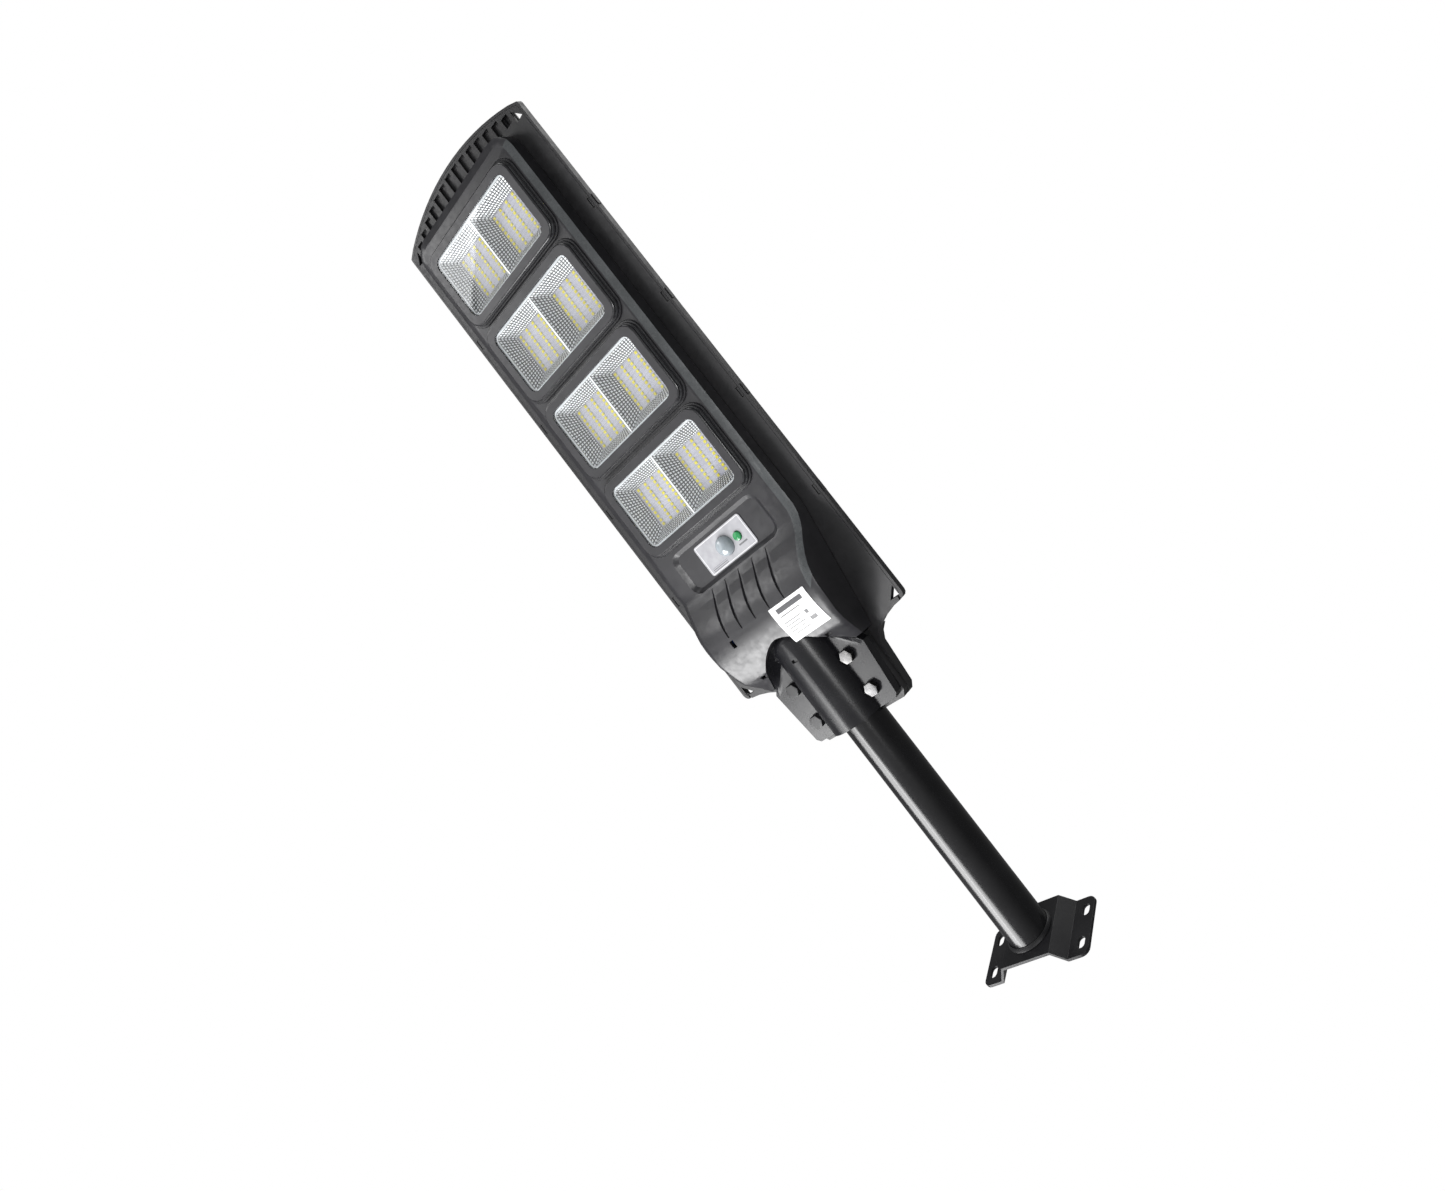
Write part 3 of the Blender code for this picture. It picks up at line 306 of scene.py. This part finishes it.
def surface(name, dark, light, rough, grain=900.0, depth=0.00015, strength=0.5, wear=1.0,
            **values):
    """A colour that drifts between two tones, with fine grain and uneven gloss."""
    n = Nodes(name)
    n.color(n.mix(n.ramp(n.noise(38.0, 6.0), 0.0, 1.0), dark, light))
    n.rough(n.ramp(n.noise(160.0, 4.0), rough - 0.05 * wear, rough + 0.07 * wear))
    n.bump(n.noise(grain, 3.0), depth, strength)
    n.set(**values)
    return n.material


def solar_cells():
    n = Nodes("solar_cells")
    along, across = n.head_place()
    gap = n.math("MAXIMUM", n.stripes(n.math("ADD", along, 0.498), 0.0469, 0.03),
                 n.stripes(n.math("ADD", across, 0.106), 0.053, 0.026))
    bus = n.stripes(n.math("ADD", across, 0.1035), 0.0106, 0.07)
    fingers = n.stripes(along, 0.0016, 0.14)
    cell = n.mix(n.ramp(n.noise(14.0, 5.0), 0.0, 1.0), (0.004, 0.007, 0.018), (0.009, 0.014, 0.034))
    fine = n.mix(n.math("MULTIPLY", fingers, 0.35), cell, (0.06, 0.07, 0.09))
    barred = n.mix(bus, fine, (0.45, 0.46, 0.48))
    n.color(n.mix(gap, barred, (0.035, 0.037, 0.042)))
    n.rough(n.ramp(n.noise(300.0), 0.16, 0.24))
    n.bump(n.noise(700.0), 0.00004, 0.25)
    n.set(Coat_Weight=1.0, Coat_Roughness=0.06)
    return n.material


def label_film():
    """White film with plain bars in place of any printing."""
    n = Nodes("label_film")
    along, across = n.head_place()
    marks = None
    bars = [(-0.4605, -0.4555, 0.024, 0.058), (-0.4645, -0.4635, 0.024, 0.05)]
    bars += [(-0.4715 - 0.0034 * i, -0.4705 - 0.0034 * i, 0.022, 0.045 - 0.004 * (i % 2))
             for i in range(5)]
    bars += [(-0.4745, -0.4705, 0.0495, 0.0535), (-0.4825, -0.4785, 0.0495, 0.0575)]
    for x0, x1, y0, y1 in bars:
        bar = n.math("MULTIPLY", n.within(along, x0, x1), n.within(across, y0, y1))
        marks = bar if marks is None else n.math("MAXIMUM", marks, bar)
    paper = n.mix(n.ramp(n.noise(90.0), 0.0, 1.0), (0.72, 0.72, 0.73), (0.82, 0.82, 0.82))
    n.color(n.mix(marks, paper, (0.06, 0.06, 0.065)))
    n.rough(n.ramp(n.noise(220.0), 0.34, 0.46))
    n.bump(n.noise(1300.0), 0.00004, 0.3)
    return n.material


def plate_film():
    """Silver film over the sensor plate with a pale border line."""
    n = Nodes("sensor_plate_film")
    along, across = n.head_place()
    off_x = n.math("ABSOLUTE", n.math("ADD", along, 0.3778))
    off_y = n.math("ABSOLUTE", across)
    line = n.math("MULTIPLY", n.math("LESS_THAN", off_x, 0.0162), n.math("LESS_THAN", off_y, 0.0334))
    inner = n.math("MULTIPLY", n.math("LESS_THAN", off_x, 0.0154), n.math("LESS_THAN", off_y, 0.0326))
    border = n.math("SUBTRACT", line, inner)
    small = n.math("MULTIPLY", n.within(along, -0.3935, -0.3885), n.within(across, -0.03, -0.008))
    rows = n.stripes(along, 0.0018, 0.4)
    switch = n.math("MULTIPLY", n.within(along, -0.3872, -0.3855), n.within(across, 0.014, 0.026))
    marks = n.math("MAXIMUM", n.math("MULTIPLY", small, rows), switch)
    silver = n.mix(n.ramp(n.noise(120.0), 0.0, 1.0), (0.31, 0.31, 0.33), (0.37, 0.37, 0.39))
    film = n.mix(n.math("MULTIPLY", marks, 0.75), silver, (0.05, 0.05, 0.055))
    n.color(n.mix(border, film, (0.62, 0.62, 0.63)))
    n.rough(n.ramp(n.noise(260.0), 0.3, 0.42))
    n.bump(n.noise(1500.0), 0.00003, 0.3)
    return n.material


def clear_window():
    """A clear cover: see-through, with a mirror-like sheen that grows towards its edges."""
    n = Nodes("clear_window")
    n.set(Base_Color=(0.93, 0.95, 0.97, 1.0), Metallic=1.0)
    n.rough(n.ramp(n.noise(60.0), 0.02, 0.05))
    n.bump(n.noise(45.0), 0.00006, 0.2)
    clear = n.node("BsdfTransparent")
    clear.inputs["Color"].default_value = (0.97, 0.98, 0.985, 1.0)
    facing = n.node("Fresnel")
    facing.inputs["IOR"].default_value = 1.5
    outside = n.math("SUBTRACT", 1.0, n.node("NewGeometry").outputs["Backfacing"])
    share = n.math("MULTIPLY", n.math("ADD", facing.outputs["Fac"], 0.01), outside)
    mixed = n.node("MixShader")
    n.wire(share, mixed.inputs["Fac"])
    n.wire(clear.outputs["BSDF"], mixed.inputs[1])
    n.wire(n.shader.outputs["BSDF"], mixed.inputs[2])
    n.wire(mixed.outputs["Shader"], n.tree.nodes["Material Output"].inputs["Surface"])
    return n.material


def board_mask():
    """Pale solder mask with slightly darker tracks between the chips."""
    n = Nodes("led_board_mask")
    along = n.head_place()[0]
    tracks = n.stripes(n.math("ADD", along, 0.5), 0.00466, 0.16)
    pale = n.mix(n.ramp(n.noise(80.0), 0.0, 1.0), (0.34, 0.33, 0.38), (0.41, 0.40, 0.45))
    n.color(n.mix(n.math("MULTIPLY", tracks, 0.5), pale, (0.24, 0.23, 0.28)))
    n.rough(n.ramp(n.noise(200.0), 0.35, 0.5))
    n.bump(tracks, 0.00003, 0.3)
    return n.material


CHARCOAL = surface("charcoal_abs", (0.016, 0.0158, 0.018), (0.022, 0.0215, 0.0245), 0.34,
                   1500.0, 0.00004, 0.12)
BLACK_ABS = surface("black_abs", (0.008, 0.008, 0.009), (0.012, 0.0115, 0.013), 0.42,
                    1500.0, 0.00005, 0.15)
COATED = surface("black_coated_steel", (0.005, 0.005, 0.0058), (0.008, 0.008, 0.009), 0.2,
                 120.0, 0.00001, 0.03, wear=0.2, Specular_IOR_Level=0.4)
BRACKET = surface("bracket_coating", (0.012, 0.012, 0.0135), (0.017, 0.017, 0.0185), 0.36,
                  120.0, 0.00001, 0.02, wear=0.3, Specular_IOR_Level=0.25)
WELD = surface("painted_weld", (0.006, 0.006, 0.007), (0.010, 0.010, 0.011), 0.45,
               260.0, 0.0004, 0.5, Specular_IOR_Level=0.3)
ZINC = surface("bright_zinc", (0.07, 0.07, 0.072), (0.12, 0.118, 0.115), 0.25,
               500.0, 0.00003, 0.15, Metallic=1.0)
CHROME = surface("metallised_reflector", (0.80, 0.80, 0.81), (0.88, 0.88, 0.88), 0.36,
                 300.0, 0.00001, 0.1, Metallic=0.35)
ALUMINIUM = surface("milled_aluminium", (0.6, 0.6, 0.62), (0.7, 0.7, 0.71), 0.35,
                    420.0, 0.0001, 0.4, Metallic=1.0)
RUBBER = surface("black_rubber", (0.012, 0.012, 0.012), (0.02, 0.02, 0.02), 0.75, 700.0)
INSULATION = surface("wire_insulation", (0.02, 0.02, 0.02), (0.05, 0.012, 0.012), 0.45, 600.0)
SILICONE = surface("clear_silicone", (0.62, 0.63, 0.64), (0.72, 0.73, 0.74), 0.4, 600.0)
BOARD_GREEN = surface("green_board", (0.01, 0.09, 0.035), (0.02, 0.14, 0.05), 0.36, 500.0)
SWITCH_BLACK = surface("switch_plastic", (0.012, 0.012, 0.012), (0.02, 0.02, 0.02), 0.4, 800.0)
SLEEVE = surface("battery_sleeve", (0.015, 0.06, 0.25), (0.025, 0.09, 0.33), 0.28, 300.0)
GREEN = surface("green_button", (0.01, 0.17, 0.05), (0.02, 0.25, 0.075), 0.24,
                500.0, 0.00004, 0.2, Coat_Weight=0.4)
MILKY = surface("milky_lens", (0.20, 0.23, 0.25), (0.36, 0.40, 0.43), 0.12,
                400.0, 0.00002, 0.1, Coat_Weight=0.5)
CERAMIC = surface("chip_body", (0.50, 0.45, 0.12), (0.60, 0.55, 0.2), 0.4, 1800.0)
PHOSPHOR = surface("chip_phosphor", (0.52, 0.43, 0.008), (0.66, 0.56, 0.015), 0.35, 2500.0)
CHIP_SIDE_MARK = surface("chip_side_mark", (0.16, 0.16, 0.18), (0.26, 0.26, 0.28), 0.35, 1500.0)
CLAMP_BLACK = surface("clamp_cover_abs", (0.006, 0.006, 0.0075), (0.009, 0.009, 0.0105), 0.26,
                      120.0, 0.00001, 0.03, wear=0.2, Specular_IOR_Level=0.3)
FRAME_GLOSS = surface("frame_ledges", (0.014, 0.0138, 0.016), (0.019, 0.0188, 0.021), 0.24,
                      400.0, 0.00001, 0.05)
# A paler, smoother tone for the housing's button-side chamfer: the paleness is a painted highlight.
EDGE_HIGHLIGHT = surface("edge_painted_highlight", (0.05, 0.054, 0.056), (0.07, 0.075, 0.078), 0.26,
                    300.0, 0.00001, 0.05)
# A near-black copy of the bolts' zinc, painted shade for the bolts behind the clamp barrel.
SHADED_ZINC = surface("bolt_painted_shade", (0.012, 0.012, 0.013), (0.022, 0.022, 0.024), 0.35,
                    300.0, 0.00002, 0.1, Specular_IOR_Level=0.3)
# A dark tone on the sloping borders between the reflector's facets: painted shade in the creases.
GROOVE_SHADE = surface("reflector_groove_shade", (0.03, 0.03, 0.032), (0.06, 0.06, 0.063), 0.5,
                 300.0, 0.00001, 0.1)
GLASS = clear_window()
CELLS = solar_cells()
LABEL = label_film()
PLATE = plate_film()
MASK = board_mask()


# ------------------------------------------------------------------ light windows

def wall_facets(bm, corners, inside, columns):
    """A reflector wall of small pillow facets between its four corners."""
    top_a, top_b, low_b, low_a = [Vector(c) for c in corners]

    def point(i, j):
        u = i / columns
        v = j / FACET_ROWS
        return top_a.lerp(top_b, u).lerp(low_a.lerp(low_b, u), v)

    grid = [[bm.verts.new(point(i, j)) for i in range(columns + 1)]
            for j in range(FACET_ROWS + 1)]
    normal = (top_b - top_a).cross(low_a - top_a).normalized()
    if normal.dot(Vector(inside) - top_a) < 0:
        normal.negate()
    low, high = FACET_EDGE, 1 - FACET_EDGE
    for j in range(FACET_ROWS):
        for i in range(columns):
            ring = (grid[j][i], grid[j][i + 1], grid[j + 1][i + 1], grid[j + 1][i])
            inner = [bm.verts.new(point(i + di, j + dj) + normal * FACET_RISE)
                     for di, dj in ((low, low), (high, low), (high, high), (low, high))]
            peak = bm.verts.new(point(i + 0.5, j + 0.5) + normal * FACET_PEAK)
            for k in range(4):
                m = (k + 1) % 4
                # Each facet's sloping border takes the second, dark material: painted shade between
                # the facets.
                bm.faces.new((ring[k], ring[m], inner[m], inner[k])).material_index = 1
                bm.faces.new((inner[k], inner[m], peak))


def make_reflector(number):
    x = -PITCH * number
    bm = bmesh.new()
    xs = [x - FLANGE_X, x - CUP_X, x + CUP_X, x + FLANGE_X]
    ys = [-FLANGE_Y, -CUP_Y, -RIDGE_Y, RIDGE_Y, CUP_Y, FLANGE_Y]
    for i in range(3):
        for j in range(5):
            if i == 1 and j in (1, 3):
                continue
            quad = [(xs[i], ys[j]), (xs[i + 1], ys[j]), (xs[i + 1], ys[j + 1]), (xs[i], ys[j + 1])]
            bm.faces.new([bm.verts.new((px, py, RIM_Z)) for px, py in quad])
    for side in (1, -1):
        wide = [(x - CUP_X, side * RIDGE_Y), (x + CUP_X, side * RIDGE_Y),
                (x + CUP_X, side * CUP_Y), (x - CUP_X, side * CUP_Y)]
        narrow = [(x - FOOT_X, side * FOOT_INNER_Y), (x + FOOT_X, side * FOOT_INNER_Y),
                  (x + FOOT_X, side * FOOT_OUTER_Y), (x - FOOT_X, side * FOOT_OUTER_Y)]
        inside = (x + CUP_MIDDLE[0], side * CUP_MIDDLE[1], CUP_MIDDLE[2])
        for k in range(4):
            m = (k + 1) % 4
            corners = [(*wide[k], RIM_Z), (*wide[m], RIM_Z),
                       (*narrow[m], CUP_FLOOR), (*narrow[k], CUP_FLOOR)]
            wall_facets(bm, corners, inside, FACETS_ALONG if k % 2 == 0 else FACETS_ACROSS)
    bmesh.ops.remove_doubles(bm, verts=bm.verts, dist=0.001)
    piece = head_piece(f"faceted_reflector_{number + 1}", bm, [CHROME, GROOVE_SHADE])
    thickness = piece.modifiers.new("skin", "SOLIDIFY")
    thickness.thickness = 0.0003
    thickness.offset = 1.0
    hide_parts(f"reflector_{number + 1}")


def make_led_board(number):
    x = -PITCH * number
    bm = bmesh.new()
    rings = []
    for inset, z in ((0.3, 0.0), (0.0, 0.3), (0.0, 1.3), (0.3, 1.6)):
        edge = outline(BOARD_X - inset, BOARD_Y - inset, BOARD_CORNER)
        rings.append([(x + px, py, z) for px, py in edge])
    loops = [[bm.verts.new(p) for p in ring] for ring in rings]
    for low, high in zip(loops, loops[1:]):
        for i in range(len(low)):
            j = (i + 1) % len(low)
            bm.faces.new((low[i], low[j], high[j], high[i]))
    bm.faces.new(loops[0])
    bm.faces.new(loops[-1])
    board = head_piece(f"circuit_board_{number + 1}", bm, MASK)
    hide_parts(f"led_board_{number + 1}")
    chips = bmesh.new()
    for side in (1, -1):
        for row in range(CHIP_ROWS):
            for column in range(CHIP_COLUMNS):
                cx = x + FIRST_CHIP_X + CHIP_STEP * column
                cy = side * (FIRST_ROW_Y + ROW_STEP * row)
                add_chip(chips, cx, cy)
                # A small darker mark beside each chip, on its +y side.
                add_box(chips, cx - 0.7, cx + 0.7, cy + 2.2, cy + 2.8, -0.12, 0.05, 2)
    lights = head_piece(f"led_chips_{number + 1}", chips, [CERAMIC, PHOSPHOR, CHIP_SIDE_MARK])


def add_chip(bm, cx, cy):
    """A surface-mount chip: a chamfered pale body round a yellow centre."""
    levels = ((1.5, 1.65, 0.05), (1.5, 1.65, -0.5), (1.42, 1.57, -0.62), (1.36, 1.5, -0.62),
              (1.3, 1.45, -0.56))
    loops = []
    for half_x, half_y, z in levels:
        loops.append([bm.verts.new((cx + sx * half_x, cy + sy * half_y, z))
                      for sx, sy in ((1, 1), (-1, 1), (-1, -1), (1, -1))])
    for low, high in zip(loops, loops[1:]):
        for i in range(4):
            j = (i + 1) % 4
            bm.faces.new((low[i], low[j], high[j], high[i]))
    bm.faces.new(loops[0])
    bm.faces.new(loops[-1]).material_index = 1


def make_frame_steps(number):
    """The window frame goes down in ledges, each with a narrow groove at its foot."""
    x = -PITCH * number
    profile = ((0.0, -18.8), (0.9, -18.6), (1.5, -17.9), (1.6, -16.2), (1.1, -16.0),
               (1.1, -15.6), (2.7, -15.4), (3.0, -14.9), (3.1, -13.7), (2.6, -13.5),
               (2.6, -13.1), (4.3, -12.9), (4.7, -12.4), (4.8, -10.8), (1.0, -10.8))
    rings = []
    for grow, z in profile:
        half_x = FRAME_X + grow
        half_y = FRAME_Y + FRAME_Y_GROWTH * grow
        edge = outline(half_x, half_y, FRAME_CORNER + grow, 8)
        rings.append([(x + px, py, z) for px, py in edge])
    bm = bmesh.new()
    loft_loop(bm, rings)
    piece = head_piece(f"window_frame_steps_{number + 1}", bm, FRAME_GLOSS, smooth=35)


# ------------------------------------------------------------------ sensor lens

def make_pir_dome():
    """The motion sensor's dome, moulded as rings of small facets."""
    centre_x = -378.0
    base_z = -9.6
    radius = 10.3
    height = 6.2
    rings = 6
    sides = 24
    bm = bmesh.new()
    loops = []
    for ring in range(rings):
        angle = math.radians(90 * (1 - ring / rings))
        turn = math.pi / sides * (ring % 2)
        loops.append([bm.verts.new((
            centre_x + radius * math.sin(angle) * math.cos(turn + 2 * math.pi * i / sides),
            radius * math.sin(angle) * math.sin(turn + 2 * math.pi * i / sides),
            base_z - height * math.cos(angle))) for i in range(sides)])
    skirt = [bm.verts.new((v.co.x, v.co.y, -5.5)) for v in loops[0]]
    tip = bm.verts.new((centre_x, 0.0, base_z - height))
    for ring in range(rings - 1):
        shift = ring % 2
        for i in range(sides):
            j = (i + 1) % sides
            low, high = loops[ring], loops[ring + 1]
            if shift:
                bm.faces.new((low[i], high[(i + 1) % sides], high[i]))
                bm.faces.new((low[i], low[j], high[(i + 1) % sides]))
            else:
                bm.faces.new((low[i], low[j], high[i]))
                bm.faces.new((low[j], high[j], high[i]))
    for i in range(sides):
        j = (i + 1) % sides
        bm.faces.new((loops[-1][i], loops[-1][j], tip))
        bm.faces.new((skirt[i], skirt[j], loops[0][j], loops[0][i]))
    bm.faces.new(skirt)
    piece = head_piece("motion_sensor_dome", bm, MILKY)
    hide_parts("pir_lens")


# ------------------------------------------------------------------ scene

def camera_glow(tree, socket, other_rays, camera_rays):
    """Sets a strength that differs between what the camera sees and what lights the lamp."""
    seen = tree.nodes.new("ShaderNodeLightPath")
    strength = tree.nodes.new("ShaderNodeMapRange")
    strength.inputs["To Min"].default_value = other_rays
    strength.inputs["To Max"].default_value = camera_rays
    tree.links.new(seen.outputs["Is Camera Ray"], strength.inputs["Value"])
    tree.links.new(strength.outputs["Result"], socket)


def studio():
    """A pale floor and a white background, both brighter to the camera than to the lamp."""
    bm = bmesh.new()
    bmesh.ops.create_grid(bm, x_segments=2, y_segments=2, size=8.0)
    mesh = bpy.data.meshes.new("studio_floor")
    bm.to_mesh(mesh)
    bm.free()
    floor = bpy.data.objects.new("studio_floor", mesh)
    floor.location = (0.4, 0.0, -1.25)
    bpy.context.scene.collection.objects.link(floor)
    pale = surface("pale_floor", (0.8, 0.8, 0.8), (0.83, 0.83, 0.83), 0.7, 30.0)
    shader = pale.node_tree.nodes["Principled BSDF"]
    camera_glow(pale.node_tree, shader.inputs["Emission Strength"], 0.0, FLOOR_GLOW)
    shader.inputs["Emission Color"].default_value = (1.0, 1.0, 1.0, 1.0)
    mesh.materials.append(pale)
    world = bpy.data.worlds.new("studio_world")
    world.use_nodes = True
    bpy.context.scene.world = world
    background = world.node_tree.nodes["Background"]
    camera_glow(world.node_tree, background.inputs["Strength"], WORLD_LIGHT, 1.0)
    background.inputs["Color"].default_value = (1.0, 1.0, 1.0, 1.0)


def area_light(name, place, target, size, power):
    data = bpy.data.lights.new(name, "AREA")
    data.shape = "RECTANGLE"
    data.size, data.size_y = size
    data.energy = power
    lamp = bpy.data.objects.new(name, data)
    lamp.location = place
    lamp.rotation_mode = "QUATERNION"
    lamp.rotation_quaternion = (Vector(target) - Vector(place)).to_track_quat("-Z", "Y")
    bpy.context.scene.collection.objects.link(lamp)


# Each light: name, the point it faces, the way out to it, distance, size and power. The
# points and directions are in the lamp head's frame.
LIGHTS = (
    ("rear_key", (-450.0, 0.0, -20.0), (-0.54, -0.62, -0.57), 1.25, (0.9, 0.8), 29.0),
    ("edge_strip", (-400.0, 87.0, 0.0), (0.0, 0.47, -0.88), 1.4, (0.6, 0.2), 8.0),
    ("arm_strip", (-985.0, 0.0, 0.0), (0.0, -0.66, -0.751), 1.28, (0.95, 0.09), 3.4),
    ("veil", (-180.0, 0.0, -15.0), (0.2, -0.6, -0.77), 1.5, (1.2, 0.5), 3.0),
    ("front_side", (-380.0, 0.0, 0.0), (0.62, -0.62, -0.48), 1.4, (0.5, 0.5), 4.0),
    ("front_light", (60.0, 0.0, 0.0), (0.88, 0.1, -0.46), 1.2, (0.4, 0.3), 3.0),
    ("top_fill", (-250.0, 0.0, 0.0), (0.5, 0.2, 0.84), 2.2, (1.8, 1.8), 30.0),
)


# The camera, in the lamp head's frame: below and beside the lamp, looking up at it.
CAMERA_PLACE = (-418.4, 647.7, -858.1)
CAMERA_FORWARD = (0.0855, -0.6181, 0.7815)
CAMERA_RIGHT = (-0.6075, 0.5893, 0.5326)
CAMERA_LENS = 27.405
CAMERA_SHIFT = (0.0311, -0.0551)


def make_camera():
    forward = (TURN @ Vector(CAMERA_FORWARD)).normalized()
    right = (TURN @ Vector(CAMERA_RIGHT)).normalized()
    down = forward.cross(right).normalized()
    data = bpy.data.cameras.new("camera")
    data.sensor_width = 36.0
    data.lens = CAMERA_LENS
    data.shift_x, data.shift_y = CAMERA_SHIFT
    data.clip_start = 0.01
    camera = bpy.data.objects.new("camera", data)
    place = HEAD @ Vector(CAMERA_PLACE)
    rotation = Matrix((right, -down, -forward)).transposed()
    camera.matrix_world = Matrix.Translation(place) @ rotation.to_4x4()
    bpy.context.scene.collection.objects.link(camera)
    bpy.context.scene.camera = camera


def finish_cad_nodes():
    """Gives each CAD node that stays as it is its own finish."""
    plain = {
        "housing_seal": RUBBER, "panel_tape": RUBBER, "led_harness": INSULATION,
        "battery_lead": INSULATION, "panel_lead": INSULATION, "heat_plate": ALUMINIUM,
        "pir_sensor": ZINC, "sensor_board": BOARD_GREEN, "controller_board": BOARD_GREEN,
        "button_switch": SWITCH_BLACK, "battery_cradle": SWITCH_BLACK,
        "panel_junction": SWITCH_BLACK,
    }
    starts = {"lens_seal": SILICONE, "battery_cell": SLEEVE, "housing_screw": ZINC,
              "window_lens": GLASS}
    for name, node in NODES.items():
        finish = plain.get(name)
        for start, material in starts.items():
            if name.startswith(start):
                finish = material
        if finish is not None:
            node.data.materials.clear()
            node.data.materials.append(finish)


def paint_edge_highlight(housing):
    """The chamfer along the button's side of the housing is smoother, and paler with a painted
    highlight.
    """
    to_head = HEAD.inverted()
    for face in housing.data.polygons:
        across = face.normal.y
        light_side = -face.normal.dot(RISE)
        place = to_head @ face.center
        if 0.35 < across < 0.92 and light_side > 0.3 and -455 < place.x < 62:
            if place.y > 68 and place.z < -6:
                # These +y chamfer faces take the paler tone, a painted highlight.
                face.material_index = 1


def main():
    bpy.context.scene.view_settings.view_transform = "Standard"
    make_camera()
    finish_cad_nodes()
    housing = refined("lower_housing", "housing_shell", [CHARCOAL, EDGE_HIGHLIGHT], 0.8)
    paint_edge_highlight(housing)
    refined("clamp_cover", "clamp_cover_shell", CLAMP_BLACK, 0.6)
    refined("base_shell", "panel_tray", BLACK_ABS, 0.5)
    refined("panel_frame", "panel_rim", BLACK_ABS, 0.5)
    refined("wall_bracket", "bracket_plate", BRACKET, 0.7)
    refined("arm_tube", "arm_pipe", COATED, 0.5)
    refined("weld_bead", "weld_ring", WELD, 0.6)
    refined("sensor_plate", "sensor_cover", PLATE, 0.15)
    refined("on_off_button", "push_button", GREEN, 0.3)
    refined("rating_label", "label_sheet", LABEL, 0.05)
    refined("solar_panel", "solar_laminate", CELLS, 0.3)
    for number in range(1, CLAMP_BOLTS + 1):
        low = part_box(f"clamp_bolt_{number}")[0]
        # Bolts on the −y side, behind the barrel, take the darker zinc copy as painted shade.
        finish = ZINC if low.y > 0 else SHADED_ZINC
        refined(f"clamp_bolt_{number}", f"hex_bolt_{number}", finish, 0.5)
        refined(f"clamp_nut_{number}", f"hex_nut_{number}", ZINC, 0.4)
    for number in range(WINDOWS):
        make_reflector(number)
        make_led_board(number)
        make_frame_steps(number)
    make_pir_dome()
    studio()
    for name, aim, toward, distance, size, power in LIGHTS:
        target = HEAD @ Vector(aim)
        place = target + TURN @ Vector(toward).normalized() * distance
        area_light(name, place, target, size, power)


main()
